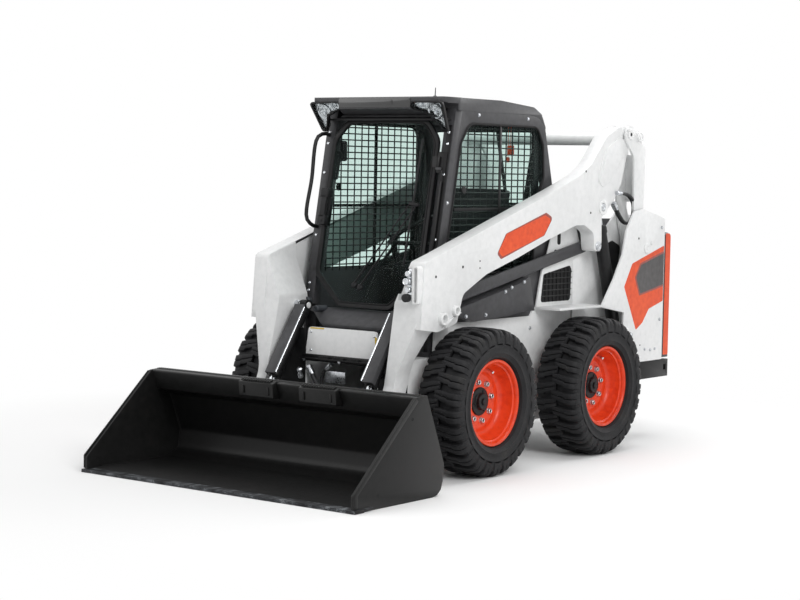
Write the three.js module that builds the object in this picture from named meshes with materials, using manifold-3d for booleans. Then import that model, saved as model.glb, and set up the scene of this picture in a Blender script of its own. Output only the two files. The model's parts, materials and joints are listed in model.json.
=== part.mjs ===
// Skid steer loader with a vertical-path lift linkage, a closed cab and a dirt bucket.
// Millimetres, +Z up. The machine drives towards -Y, and +X is its left side.
// Everything is drawn about the middle of the wheelbase, on the ground, and the whole
// machine is moved at the end so that its overall length is centred on Y = 0.
import * as THREE from 'three';
import { mergeVertices } from 'three/addons/utils/BufferGeometryUtils.js';
import Module from 'manifold-3d';

const wasm = await Module();
wasm.setup();

// ---------------------------------------------------------------- clearances
const GAP = 0.3;              // between two pieces that touch
const PIN_FIT = 0.5;          // round a pin in its bore
const SWING = 8;              // between pieces that pass one another
const EYE_FIT = 6;            // at each side of a rod's eye
const LID_GAP = 5;            // behind a door or lid

// ---------------------------------------------------------------- driving dimensions
const WHEELBASE = 1082;
const TYRE_RADIUS = 378;
const TYRE_WIDTH = 256;
const RIM_RADIUS = 222;
const CHASSIS_HALF = 427;     // half width of the chassis between the tyres
const TYRE_ROOM = 70;         // between the chassis and a tyre
const CHASSIS_FLOOR = 190;    // ground clearance
const CHASSIS_TOP = 596;
const CHASSIS_OVERHANG = 343; // from the front axle to the chassis's front face
const REAR_OVERHANG = 935;    // from the rear axle to the rear face of the bumper
const PLATE = 12;             // frame plate

const CAB_INSET = 9;          // the cab's sides, in from the chassis
const CAB_WALL = 14;
const CAB_FRONT = -694;       // front of the cab at the door's sill and below it
const CAB_LEAN = 10.5;        // degrees that the cab's front leans back above the sill
const CAB_REAR = 470;
const CAB_FLOOR = 620;
const ROOF_TOP = 1926;
const ROOF_THICK = 52;
const DOOR_SILL = 822;        // underside of the door
const HINGE_POST = 66;        // from the cab's side to the door, at the hinges and at the latch
const LATCH_POST = 68;

const ARM_ROOM = 30.7;        // between the upright's inner plate and the lift arm
const ARM_WIDTH = 86;
const LINK_PLATE = 14;
const CONTROL_PLATE = 16;
const LEG_INSET = 84;         // the arm's lower front leg, in from the arm
const LEG_WIDTH = 62;
const TILT_SPACE = 68;        // from the leg's inner face to the tilt cylinder's axis

const BUCKET_WIDTH = 1727;
const BUCKET_DEPTH = 695;
const BUCKET_HEIGHT = 493;

const FRONT_AXLE = -WHEELBASE / 2;
const REAR_AXLE = WHEELBASE / 2;
const fore = (distance) => FRONT_AXLE - distance;   // a place ahead of the front axle
const aft = (distance) => REAR_AXLE + distance;     // a place behind the rear axle

// pivots in the side view, as [y, z]
const REAR_PIVOT = [aft(649), 1120];      // rear link on the upright
const ARM_PIVOT = [aft(459), 1775];       // lift arm on the rear link
const CONTROL_FRONT = [fore(79), 880];    // control link on the chassis
const CONTROL_REAR = [aft(165), 1142];    // control link at the lift arm's finger
const LIFT_BASE = [aft(444), 640];        // lift cylinder on the upright
const LIFT_EYE = [aft(208), 1361];        // lift cylinder at the lift arm
const TILT_BASE = [fore(259), 828];       // tilt cylinder on the lift arm
const TILT_EYE = [fore(572), 373];        // tilt cylinder at the tool carrier
const TOOL_PIVOT = [fore(519), 190];      // tool carrier on the lift arm

// ---------------------------------------------------------------- fits
const TRACK = 2 * (CHASSIS_HALF + TYRE_ROOM) + TYRE_WIDTH;   // between the middles of the tyres
const CAB_HALF = CHASSIS_HALF - CAB_INSET;
const DOOR_LEFT = CAB_HALF - HINGE_POST;              // the door's hinge edge
const DOOR_RIGHT = LATCH_POST - CAB_HALF;             // the door's latch edge
const UPRIGHT_IN = CHASSIS_HALF + GAP;                // inner upright plate
const ARM_IN = UPRIGHT_IN + PLATE + ARM_ROOM;         // lift arm, inner and outer faces
const ARM_OUT = ARM_IN + ARM_WIDTH;
const LEG_IN = ARM_IN - LEG_INSET;
const LINK_GAP = 6;                                   // beside a link's plate
const UPRIGHT_OUT = ARM_OUT + LINK_GAP + LINK_PLATE + LINK_GAP;
const CONTROL_IN = ARM_IN - SWING - CONTROL_PLATE;
const LINK_IN = ARM_IN - LINK_GAP - LINK_PLATE;
const LINK_OUT = ARM_OUT + LINK_GAP;
const ARM_MID = ARM_IN + ARM_WIDTH / 2;
const TILT_X = LEG_IN - TILT_SPACE;
const HUB_Z = TYRE_RADIUS;
const CHASSIS_FRONT = fore(CHASSIS_OVERHANG);
const BUCKET_BACK = fore(624);
const BUCKET_EDGE = BUCKET_BACK - BUCKET_DEPTH;
const LIP = [16, 8, 16];      // cutting edge: beyond the cheeks, ahead of them, thickness
const REAR_END = REAR_AXLE + REAR_OVERHANG;
const CENTRE_SHIFT = -(BUCKET_EDGE - LIP[1] + REAR_END) / 2;

// ---------------------------------------------------------------- finishes
const finish = (color, roughness, metalness) => ({ color, roughness, metalness });
const WHITE = finish('#e9eaea', 0.42, 0.1);
const GREY = finish('#4a4a4c', 0.5, 0.2);
const BLACK = finish('#1b1c1e', 0.55, 0.2);
const RUBBER = finish('#222222', 0.85, 0);
const ORANGE = finish('#e4491c', 0.4, 0.1);
const STEEL = finish('#b9bcc0', 0.25, 0.9);
const GLASS = finish('#9fc4b8', 0.08, 0);
const LENS = finish('#dfe4e6', 0.12, 0);
const VINYL = finish('#26272a', 0.75, 0);
const IRON = finish('#3a3d41', 0.6, 0.5);

// ---------------------------------------------------------------- solid helpers
// A three.js geometry becomes a manifold solid.
function solid(geometry) {
  const bare = geometry.index ? geometry.toNonIndexed() : geometry.clone();
  bare.deleteAttribute('normal');
  bare.deleteAttribute('uv');
  const merged = mergeVertices(bare, 1e-4);
  const mesh = new wasm.Mesh({
    numProp: 3,
    vertProperties: new Float32Array(merged.attributes.position.array),
    triVerts: new Uint32Array(merged.index.array),
  });
  return new wasm.Manifold(mesh);
}

function union(...solids) {
  return solids.reduce((sum, next) => sum.add(next));
}

const box = (x0, x1, y0, y1, z0, z1) => {
  const geometry = new THREE.BoxGeometry(x1 - x0, y1 - y0, z1 - z0);
  return solid(geometry.translate((x0 + x1) / 2, (y0 + y1) / 2, (z0 + z1) / 2));
};

// Rounds the corners of an outline. Each point is [a, b] or [a, b, radius].
function shapeOf(points, radius = 0) {
  const shape = new THREE.Shape();
  const n = points.length;
  points.forEach((point, i) => {
    const here = new THREE.Vector2(point[0], point[1]);
    const before = new THREE.Vector2(...points[(i + n - 1) % n].slice(0, 2)).sub(here);
    const after = new THREE.Vector2(...points[(i + 1) % n].slice(0, 2)).sub(here);
    const r = point[2] ?? radius;
    if (r > 0) {
      const half = before.angleTo(after) / 2;
      const room = 0.49 * Math.min(before.length(), after.length());
      const reach = Math.min(r / Math.tan(half), room);
      const start = before.setLength(reach).add(here);
      const end = after.setLength(reach).add(here);
      if (i === 0) shape.moveTo(start.x, start.y);
      else shape.lineTo(start.x, start.y);
      shape.quadraticCurveTo(here.x, here.y, end.x, end.y);
    } else if (i === 0) shape.moveTo(here.x, here.y);
    else shape.lineTo(here.x, here.y);
  });
  shape.closePath();
  return shape;
}

const CORNER_STEPS = 3;
const TUBE_SIDES = 8;
function extrude(points, depth, radius) {
  return new THREE.ExtrudeGeometry(shapeOf(points, radius), {
    depth, bevelEnabled: false, curveSegments: CORNER_STEPS,
  });
}

// An outline in the side view, [y, z], between two x.
function slab(points, x0, x1, radius) {
  const turn = new THREE.Matrix4().set(0, 0, 1, x0, 1, 0, 0, 0, 0, 1, 0, 0, 0, 0, 0, 1);
  return solid(extrude(points, x1 - x0, radius).applyMatrix4(turn));
}

// An outline in the front view, [x, z], between two y.
function frontal(points, y0, y1, radius) {
  const turn = new THREE.Matrix4().set(1, 0, 0, 0, 0, 0, -1, y1, 0, 1, 0, 0, 0, 0, 0, 1);
  return solid(extrude(points, y1 - y0, radius).applyMatrix4(turn));
}

// An outline in plan, [x, y], between two z.
function level(points, z0, z1, radius) {
  return solid(extrude(points, z1 - z0, radius).translate(0, 0, z0));
}

// A round bar between two points of the machine.
function bar(from, to, radius, sides = 16) {
  const a = new THREE.Vector3(...from);
  const axis = new THREE.Vector3(...to).sub(a);
  const geometry = new THREE.CylinderGeometry(radius, radius, axis.length(), sides);
  const turn = new THREE.Quaternion().setFromUnitVectors(
    new THREE.Vector3(0, 1, 0), axis.clone().normalize());
  geometry.applyQuaternion(turn);
  return solid(geometry.translate(...a.add(axis.multiplyScalar(0.5)).toArray()));
}

// A round pin or bore across the machine, at [y, z].
const cross = (x0, x1, [y, z], radius, sides = 16) => bar([x0, y, z], [x1, y, z], radius, sides);

// A bent round tube through the given points.
function tube(points, radius, steps = 24) {
  const path = new THREE.CatmullRomCurve3(
    points.map((p) => new THREE.Vector3(...p)), false, 'centripetal');
  const section = new THREE.Shape();
  section.absarc(0, 0, radius, 0, 2 * Math.PI, false);
  const geometry = new THREE.ExtrudeGeometry(section, {
    steps, extrudePath: path, bevelEnabled: false, curveSegments: TUBE_SIDES / 2,
  });
  return solid(geometry);
}

// The mirror image of a solid on the machine's other side.
const mirrored = (body) => body.mirror([1, 0, 0]);

// A point between two pivots, at a distance from the first one.
function along(from, to, distance) {
  const length = Math.hypot(to[0] - from[0], to[1] - from[1]);
  return from.map((value, i) => value + (to[i] - value) * distance / length);
}

const loader = new THREE.Group();
loader.position.y = CENTRE_SHIFT;

function addPiece(name, body, { color, roughness, metalness }) {
  const mesh = body.getMesh();
  const geometry = new THREE.BufferGeometry();
  geometry.setAttribute('position', new THREE.BufferAttribute(mesh.vertProperties, 3));
  geometry.setIndex(new THREE.BufferAttribute(mesh.triVerts, 1));
  const material = new THREE.MeshStandardMaterial({ color, roughness, metalness });
  const piece = new THREE.Mesh(geometry, material);
  piece.name = name;
  loader.add(piece);
}

// The same piece on both sides of the machine.
function addPair(name, body, look) {
  addPiece(`left_${name}`, body, look);
  addPiece(`right_${name}`, mirrored(body), look);
}

// ---------------------------------------------------------------- wheels and axles
const TYRE_IN = TRACK / 2 - TYRE_WIDTH / 2;
const TYRE_OUT = TRACK / 2 + TYRE_WIDTH / 2;
const FLANGE_IN = TYRE_IN + 22;
const FLANGE_OUT = TYRE_OUT - 26;
const FLANGE = 7;
const BEAD_RADIUS = RIM_RADIUS - 16;
const DISC_OUT = TRACK / 2 - 3;       // outer face of the wheel disc
const DISC = 14;
const AXLE_RADIUS = 55;
const HUB_FLANGE = [105, 20];         // radius and thickness
const WHEEL_SIDES = 32;

// A closed outline of [radius, x] turned round an axle at [y, z].
function turned(profile, [y, z], sides = WHEEL_SIDES) {
  const points = profile.map(([r, x]) => new THREE.Vector2(r, x));
  const geometry = new THREE.LatheGeometry(points, sides);
  geometry.applyMatrix4(new THREE.Matrix4().makeRotationZ(-Math.PI / 2));
  const body = solid(geometry);
  const upright = body.volume() < 0 ? solid(flipped(geometry)) : body;
  return upright.translate([0, y, z]);
}

function flipped(geometry) {
  const copy = geometry.clone();
  const index = copy.index.array;
  for (let i = 0; i < index.length; i += 3) [index[i], index[i + 1]] = [index[i + 1], index[i]];
  return copy;
}

function tyre(centre) {
  const shoulder = TYRE_WIDTH / 2 - 20;
  const middle = TRACK / 2;
  return turned([
    [BEAD_RADIUS + GAP, FLANGE_IN + FLANGE + GAP],
    [RIM_RADIUS + 4, FLANGE_IN + FLANGE + GAP],
    [RIM_RADIUS + 12, TYRE_IN + 12],
    [RIM_RADIUS + 50, TYRE_IN + 1],
    [TYRE_RADIUS - 62, TYRE_IN],
    [TYRE_RADIUS - 36, TYRE_IN + 6],
    [TYRE_RADIUS - 6, middle - shoulder],
    [TYRE_RADIUS, middle - shoulder + 40],
    [TYRE_RADIUS, middle + shoulder - 40],
    [TYRE_RADIUS - 6, middle + shoulder],
    [TYRE_RADIUS - 36, TYRE_OUT - 6],
    [TYRE_RADIUS - 62, TYRE_OUT],
    [RIM_RADIUS + 50, TYRE_OUT - 1],
    [RIM_RADIUS + 12, TYRE_OUT - 14],
    [RIM_RADIUS + 4, FLANGE_OUT - FLANGE - GAP],
    [BEAD_RADIUS + GAP, FLANGE_OUT - FLANGE - GAP],
    [BEAD_RADIUS + GAP, FLANGE_IN + FLANGE + GAP],
  ], centre);
}

function rim(centre) {
  const well = BEAD_RADIUS - 20;
  const wall = 8;
  return turned([
    [0, DISC_OUT - DISC],
    [well - wall, DISC_OUT - DISC],
    [well - wall, FLANGE_IN + 60],
    [BEAD_RADIUS - wall, FLANGE_IN + 40],
    [BEAD_RADIUS - wall, FLANGE_IN],
    [RIM_RADIUS, FLANGE_IN],
    [RIM_RADIUS, FLANGE_IN + FLANGE],
    [BEAD_RADIUS, FLANGE_IN + FLANGE],
    [BEAD_RADIUS, FLANGE_IN + 42],
    [well, FLANGE_IN + 64],
    [well, DISC_OUT + 8],
    [BEAD_RADIUS, DISC_OUT + 34],
    [BEAD_RADIUS, FLANGE_OUT - FLANGE],
    [RIM_RADIUS, FLANGE_OUT - FLANGE],
    [RIM_RADIUS, FLANGE_OUT],
    [BEAD_RADIUS - wall, FLANGE_OUT],
    [BEAD_RADIUS - wall, DISC_OUT + 36],
    [well - wall, DISC_OUT + 12],
    [well - wall - 12, DISC_OUT],
    [72, DISC_OUT],
    [66, DISC_OUT + 12],
    [44, DISC_OUT + 12],
    [40, DISC_OUT + 34],
    [0, DISC_OUT + 34],
  ], centre);
}

const HUBS = { front: [FRONT_AXLE, HUB_Z], rear: [REAR_AXLE, HUB_Z] };
for (const [end, hub] of Object.entries(HUBS)) {
  addPiece(`${end}_left_tyre`, tyre(hub), RUBBER);
  addPiece(`${end}_right_tyre`, mirrored(tyre(hub)), RUBBER);
  addPiece(`${end}_left_rim`, rim(hub), ORANGE);
  addPiece(`${end}_right_rim`, mirrored(rim(hub)), ORANGE);
}

// ---------------------------------------------------------------- chassis
const CASE_IN = 300;                  // inner face of the drive case along each side
const FRONT_PLATE_HALF = 224;
const FRONT_PLATE_TOP = 725;
const HOSE_OPENING = [[-236, 330, 30], [236, 330, 30], [236, 548, 20], [-236, 548, 20]];
const LUG_RADIUS = 42;
const PIN_RADIUS = 22;

function axle(hub) {
  const seat = DISC_OUT - DISC - GAP;
  const shaft = cross(CASE_IN + 40, seat, hub, AXLE_RADIUS);
  const hubFlange = cross(seat - HUB_FLANGE[1], seat, hub, HUB_FLANGE[0], 32);
  return shaft.add(hubFlange);
}

// The bracket that carries the front end of the control link.
function controlBracket() {
  const [y, z] = CONTROL_FRONT;
  const plate = slab([
    [y - 70, CHASSIS_TOP - 60], [y + 70, CHASSIS_TOP - 60],
    [y + LUG_RADIUS, z + LUG_RADIUS, 40], [y - LUG_RADIUS, z + LUG_RADIUS, 40],
  ], UPRIGHT_IN - 30, UPRIGHT_IN + PLATE);
  const cut = box(0, UPRIGHT_IN, y - 200, y + 200, CHASSIS_TOP - 10, z + 100);
  const pin = cross(UPRIGHT_IN + 2, CONTROL_IN + CONTROL_PLATE + 2, CONTROL_FRONT, PIN_RADIUS);
  return plate.subtract(cut).add(pin);
}

const SHELF_Z = 800;                  // shelf above the rear tyre
const SHELF_FRONT = 262;              // front end of that shelf
const WALL_FRONT = aft(99);           // front edge of the upright's inner plate
const APRON = [-560, 765];            // plate beside the cab: its front end and its top

function mainframe() {
  const drive = slab([
    [CHASSIS_FRONT, CHASSIS_FLOOR + 60], [CHASSIS_FRONT + 60, CHASSIS_FLOOR],
    [aft(749), CHASSIS_FLOOR], [REAR_END - 110, CHASSIS_FLOOR + 130],
    [REAR_END - 110, CHASSIS_TOP], [CHASSIS_FRONT, CHASSIS_TOP],
  ], CASE_IN, CHASSIS_HALF);
  const apron = slab([
    [APRON[0], CHASSIS_TOP - 6], [WALL_FRONT + 30, CHASSIS_TOP - 6], [WALL_FRONT + 30, SHELF_Z + PLATE],
    [SHELF_FRONT, SHELF_Z + PLATE], [SHELF_FRONT - 40, APRON[1]], [APRON[0], APRON[1]],
  ], CAB_HALF + GAP, CHASSIS_HALF);
  const side = union(drive, axle(HUBS.front), axle(HUBS.rear), controlBracket(), apron);
  const belly = box(-CASE_IN - 1, CASE_IN + 1, CHASSIS_FRONT + 60, aft(749),
    CHASSIS_FLOOR, CHASSIS_FLOOR + PLATE);
  const front = box(-CASE_IN - 1, CASE_IN + 1, CHASSIS_FRONT, CHASSIS_FRONT + PLATE,
    CHASSIS_FLOOR + 60, CHASSIS_TOP).subtract(frontal(HOSE_OPENING, CHASSIS_FRONT - 1,
    CHASSIS_FRONT + PLATE + 1));
  const noseSlope = slab([
    [CHASSIS_FRONT, CHASSIS_FLOOR + 60], [CHASSIS_FRONT + 60, CHASSIS_FLOOR],
    [CHASSIS_FRONT + 62, CHASSIS_FLOOR + PLATE], [CHASSIS_FRONT + PLATE, CHASSIS_FLOOR + 62],
  ], -CASE_IN - 1, CASE_IN + 1);
  const frontPlate = frontal([
    [-FRONT_PLATE_HALF - 20, CHASSIS_TOP - 20], [FRONT_PLATE_HALF + 20, CHASSIS_TOP - 20],
    [FRONT_PLATE_HALF, FRONT_PLATE_TOP, 20], [-FRONT_PLATE_HALF, FRONT_PLATE_TOP, 20],
  ], CHASSIS_FRONT, CHASSIS_FRONT + PLATE);
  const shelf = box(-FRONT_PLATE_HALF, FRONT_PLATE_HALF, CHASSIS_FRONT + PLATE - 1,
    CAB_FRONT + 84, CHASSIS_TOP - 20, CHASSIS_TOP - 8);
  const bulkhead = box(-CASE_IN - 1, CASE_IN + 1, CAB_REAR, CAB_REAR + PLATE,
    CHASSIS_FLOOR + 1, CHASSIS_TOP);
  const cabBeam = (y) => box(-CASE_IN - 1, CASE_IN + 1, y, y + 60, CHASSIS_TOP - 20, CHASSIS_TOP);
  return union(side, mirrored(side), belly, front, noseSlope, frontPlate, shelf, bulkhead,
    cabBeam(CAB_FRONT + 44), cabBeam(-100));
}
addPiece('mainframe', mainframe(), WHITE);

// ---------------------------------------------------------------- uprights
const UPRIGHT_TOP = 1350;
const GATE_FRONT = REAR_END - 72;     // front face of the tailgate
const FRAME_REAR = GATE_FRONT - LID_GAP;
const GATE_HINGES = [560, 1080];      // lower ends of the tailgate's hinges
const HINGE_LENGTH = 70;
const HINGE_PIN = 8;
const HINGE_BARREL = 15;

function upright() {
  const outerPlate = slab([
    [aft(404), 462], [FRAME_REAR, 462], [FRAME_REAR, 1292, 14], [aft(604), UPRIGHT_TOP, 30],
    [aft(497), 1335, 20], [aft(416), 1230, 60], [aft(378), 1088, 80], [aft(296), 964, 80],
    [aft(167), SHELF_Z + PLATE], [aft(159), SHELF_Z], [aft(404), SHELF_Z - 40],
  ], UPRIGHT_OUT, UPRIGHT_OUT + PLATE);
  const innerPlate = slab([
    [WALL_FRONT, CHASSIS_TOP - 120], [FRAME_REAR, CHASSIS_TOP - 120],
    [FRAME_REAR, 1292, 14], [aft(559), 1330, 30], [aft(459), 1250], [aft(159), 1080], [WALL_FRONT, 1060],
  ], UPRIGHT_IN, UPRIGHT_IN + PLATE);
  const rearWeb = box(UPRIGHT_IN + 1, UPRIGHT_OUT + 1, FRAME_REAR - PLATE,
    FRAME_REAR, 462, 1270);
  const foot = box(UPRIGHT_IN + 1, UPRIGHT_OUT + 1, aft(404), FRAME_REAR, 462, 462 + PLATE);
  const shelf = box(UPRIGHT_IN, UPRIGHT_OUT + PLATE, SHELF_FRONT, aft(189), SHELF_Z, SHELF_Z + PLATE);
  const linkPin = cross(UPRIGHT_IN + 1, UPRIGHT_OUT + PLATE + 4, REAR_PIVOT, PIN_RADIUS + 2);
  const liftPin = cross(UPRIGHT_IN + 1, UPRIGHT_OUT + 1, LIFT_BASE, PIN_RADIUS);
  return union(outerPlate, innerPlate, rearWeb, foot, shelf, linkPin, liftPin);
}

// The tailgate hangs on two pins at the rear of the right upright.
const GATE_AXIS = [-(UPRIGHT_OUT + PLATE + HINGE_BARREL - 1), GATE_FRONT + 33];
function gateHinges() {
  const [x, y] = GATE_AXIS;
  const pins = GATE_HINGES.map((z) => {
    const arm = box(x - 8, x + 8, FRAME_REAR - 40, y - 4, z, z + PLATE);
    const pad = box(x + 2, x + HINGE_BARREL, FRAME_REAR - 60, FRAME_REAR - 6, z - 20, z + 40);
    const boss = bar([x, y, z], [x, y, z + PLATE], HINGE_BARREL - 2);
    const pin = bar([x, y, z + 1], [x, y, z + HINGE_LENGTH], HINGE_PIN);
    return union(arm, pad, boss, pin);
  });
  return union(...pins);
}
addPiece('left_upright', upright(), WHITE);
addPiece('right_upright', mirrored(upright()).add(gateHinges()), WHITE);

// ---------------------------------------------------------------- side panels and screens
const PANEL_OUT = TYRE_IN - 7;
function sidePanel() {
  const under = (y) => CONTROL_FRONT[1] - 54 + (y - CONTROL_FRONT[0])
    * (CONTROL_REAR[1] - CONTROL_FRONT[1]) / (CONTROL_REAR[0] - CONTROL_FRONT[0]);
  return slab([
    [-545, 800], [-400, 768], [-70, 786], [100, SHELF_Z], [172, SHELF_Z], [120, 990, 20],
    [20, under(20)], [-436, under(-436)], [-545, under(-545)],
  ], CAB_HALF + GAP, PANEL_OUT);
}
addPair('side_panel', sidePanel(), GREY);

function sideScreen() {
  const frame = slab([
    [SHELF_FRONT + 2, SHELF_Z + PLATE + GAP], [WALL_FRONT - GAP, SHELF_Z + PLATE + GAP],
    [WALL_FRONT - GAP, 1040, 20], [aft(59), 1060, 20], [320, 1020, 20],
  ], UPRIGHT_IN, UPRIGHT_IN + PLATE);
  const opening = slab([
    [320, 845], [aft(59), 845], [aft(59), 1000, 15], [aft(44), 1020, 15], [350, 985, 15],
  ], UPRIGHT_IN - 1, UPRIGHT_IN + 8);
  return frame.subtract(opening);
}
addPair('side_screen', sideScreen(), WHITE);

// ---------------------------------------------------------------- rear end
const BUMPER_TOP = 460;
const BUMPER_BOTTOM = 358;
const GATE_THICK = 66;
const GATE_HALF = UPRIGHT_OUT + PLATE;
const GATE_BOTTOM = 472;
const GATE_TOP = 1212;

function rearBumper() {
  const beam = box(-GATE_HALF, GATE_HALF, GATE_FRONT, REAR_END, BUMPER_BOTTOM, BUMPER_TOP);
  const wing = box(CHASSIS_HALF + GAP, GATE_HALF, aft(600), GATE_FRONT + 1, BUMPER_BOTTOM, BUMPER_TOP);
  const tieSlot = box(0, GATE_HALF + 1, GATE_FRONT + 20, GATE_FRONT + 48, 396, 430);
  const hollow = box(0, GATE_HALF - PLATE, GATE_FRONT + 8, REAR_END - 10, BUMPER_BOTTOM - 1,
    BUMPER_TOP - 10);
  const half = union(beam, wing).subtract(tieSlot).subtract(hollow);
  return half.subtract(mirrored(union(tieSlot, hollow))).add(mirrored(wing));
}
addPiece('rear_bumper', rearBumper(), BLACK);

function tailgate() {
  const shell = frontal([
    [-GATE_HALF, GATE_BOTTOM], [GATE_HALF, GATE_BOTTOM], [GATE_HALF, GATE_TOP, 40],
    [-GATE_HALF, GATE_TOP, 40],
  ], GATE_FRONT, GATE_FRONT + GATE_THICK);
  const dish = frontal([
    [-GATE_HALF + 40, GATE_BOTTOM + 30], [GATE_HALF - 40, GATE_BOTTOM + 30],
    [GATE_HALF - 40, GATE_TOP - 40, 20], [-GATE_HALF + 40, GATE_TOP - 40, 20],
  ], GATE_FRONT - 1, GATE_FRONT + GATE_THICK - PLATE);
  const [x, y] = GATE_AXIS;
  const barrels = GATE_HINGES.map((z) => {
    const low = z + PLATE + 1;
    return bar([x, y, low], [x, y, z + HINGE_LENGTH], HINGE_BARREL);
  });
  const bores = GATE_HINGES.map((z) => bar([x, y, z], [x, y, z + HINGE_LENGTH + 1], HINGE_PIN + PIN_FIT));
  return shell.subtract(dish).add(union(...barrels)).subtract(union(...bores));
}
addPiece('tailgate', tailgate(), GREY);

const HOOD_TOP = 1290;
function engineCover() {
  const half = CHASSIS_HALF;
  const outer = slab([
    [CAB_REAR + 12, 1080], [FRAME_REAR, 1080], [FRAME_REAR, HOOD_TOP - 40, 30],
    [aft(559), HOOD_TOP], [CAB_REAR + 12, HOOD_TOP],
  ], -half, half);
  const inner = slab([
    [CAB_REAR + 24, 1000], [GATE_FRONT + 10, 1000], [GATE_FRONT + 10, HOOD_TOP - 70],
    [aft(559), HOOD_TOP - PLATE], [CAB_REAR + 24, HOOD_TOP - PLATE],
  ], -half + PLATE, half - PLATE);
  return outer.subtract(inner);
}
addPiece('engine_cover', engineCover(), GREY);

function engine() {
  const block = box(-240, 240, 520, 1120, 330, 900);
  const foot = (x, y) => box(x - 30, x + 30, y - 30, y + 30, CHASSIS_FLOOR + PLATE + GAP, 331);
  return union(block, foot(-180, 600), foot(180, 600), foot(-180, 1040), foot(180, 1040));
}
addPiece('engine', engine(), IRON);

// ---------------------------------------------------------------- cab
const WALL_TOP = ROOF_TOP - ROOF_THICK;
const REAR_KNEE = 1340;               // above this the cab's rear leans forward
const REAR_TOP = [346, 1798];         // where the rear meets the roof's bend
const LEAN_SLOPE = Math.tan(CAB_LEAN * Math.PI / 180);
const frontAt = (z) => CAB_FRONT + (z - DOOR_SILL) * LEAN_SLOPE;
const CAB_OUTLINE = [
  [CAB_FRONT, CAB_FLOOR], [CAB_REAR, CAB_FLOOR], [CAB_REAR, REAR_KNEE], REAR_TOP,
  [278, WALL_TOP - 26, 50], [120, WALL_TOP - 6], [frontAt(WALL_TOP), WALL_TOP], [CAB_FRONT, DOOR_SILL],
];
const CAB_CENTRE = [-100, 1250];
const SIDE_WINDOW = [
  [-590, 1010, 30], [250, 1010, 40], [262, 1370, 60], [340, 1520, 60], [328, 1700, 60],
  [268, 1795, 70], [-380, 1795, 90], [-455, 1690, 60],
];
const WINDOW_CENTRE = [-100, 1430];
const REAR_LIGHT = CAB_HALF - 78;     // half width of the rear window
const REAR_WINDOW = [
  [-REAR_LIGHT, 1370, 40], [REAR_LIGHT, 1370, 40], [REAR_LIGHT, 1775, 40], [-REAR_LIGHT, 1775, 40],
];
const DOOR_HINGES = [1000, 1560];     // lower ends of the door's hinges, along the leaning post
const DOOR_AXIS = [DOOR_LEFT + 12, CAB_FRONT - 24];
const POST_IN = DOOR_LEFT + SWING - 2;
const TOE_HALF = LEG_IN - 16;         // half width of the toe box, between the lift arms

// Moves each corner of an outline towards its centre, or away from it if by is negative.
function inset(points, centre, by) {
  return points.map(([a, b, r]) => {
    const shrink = (value, middle) => value - Math.sign(value - middle) * by;
    return [shrink(a, centre[0]), shrink(b, centre[1]), r];
  });
}

// What is drawn upright at the door's sill leans back with the cab's front.
const leaned = (body) => body.translate([0, -CAB_FRONT, -DOOR_SILL]).rotate([-CAB_LEAN, 0, 0])
  .translate([0, CAB_FRONT, DOOR_SILL]);

function cabFloor() {
  const floor = box(-CAB_HALF, CAB_HALF, CAB_FRONT, CAB_REAR, CHASSIS_TOP + GAP, CAB_FLOOR);
  const toeBox = slab([
    [CAB_FRONT, CAB_FLOOR - 8], [-800, 690, 30], [-818, 735, 30],
    [CAB_FRONT - 6, DOOR_SILL - LID_GAP - 2],
    [CAB_FRONT + 30, DOOR_SILL - LID_GAP - 2], [CAB_FRONT + 30, CAB_FLOOR - 8],
  ], -CAB_HALF, CAB_HALF);
  const outline = frontal([
    [-170, CAB_FLOOR - 8], [170, CAB_FLOOR - 8], [170, 722, 60], [TILT_X - 6, 790, 60],
    [TOE_HALF, 800, 20], [TOE_HALF, DOOR_SILL], [-TOE_HALF, DOOR_SILL], [-TOE_HALF, 800, 20],
    [6 - TILT_X, 790, 60], [-170, 722, 60],
  ], -900, CAB_FRONT + 31);
  const legRoom = slab([
    [CAB_FRONT - 10, CAB_FLOOR], [-788, 702, 20], [-800, 735, 20], [CAB_FRONT + 4, DOOR_SILL - LID_GAP - 14],
    [CAB_FRONT + 31, DOOR_SILL - LID_GAP - 14], [CAB_FRONT + 31, CAB_FLOOR],
  ], -158, 158);
  return floor.add(toeBox.intersect(outline).subtract(legRoom));
}
addPiece('cab_floor', cabFloor(), GREY);

function cabSide() {
  const wall = slab(inset(CAB_OUTLINE, CAB_CENTRE, GAP), CAB_HALF - CAB_WALL, CAB_HALF);
  const post = slab([
    [CAB_FRONT + 31 + GAP, CAB_FLOOR + GAP], [CAB_FRONT + 60, CAB_FLOOR + GAP],
    [CAB_FRONT + 60, DOOR_SILL], [frontAt(WALL_TOP) + 60, WALL_TOP - GAP],
    [frontAt(WALL_TOP) + GAP, WALL_TOP - GAP], [CAB_FRONT + GAP, DOOR_SILL + 6],
    [CAB_FRONT + 31 + GAP, DOOR_SILL + 6],
  ], POST_IN, CAB_HALF);
  const window = slab(SIDE_WINDOW, CAB_HALF - CAB_WALL - 1, CAB_HALF + 1);
  const toe = box(POST_IN, TOE_HALF + GAP, CAB_FRONT - 1, CAB_FRONT + 31 + GAP, CAB_FLOOR, DOOR_SILL + GAP);
  return wall.add(post).subtract(window).subtract(toe);
}

// The door hangs on two pins on the left front post.
function doorHinges() {
  const [x, y] = DOOR_AXIS;
  const pins = DOOR_HINGES.map((z) => {
    const lug = box(x - 6, x + 24, y - 8, CAB_FRONT + 6, z, z + PLATE);
    const pin = bar([x, y, z + 1], [x, y, z + HINGE_LENGTH], HINGE_PIN - 2, 12);
    return lug.add(pin);
  });
  return leaned(union(...pins));
}
addPiece('left_cab_side', cabSide().add(doorHinges()), GREY);
addPiece('right_cab_side', mirrored(cabSide()), GREY);

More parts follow.
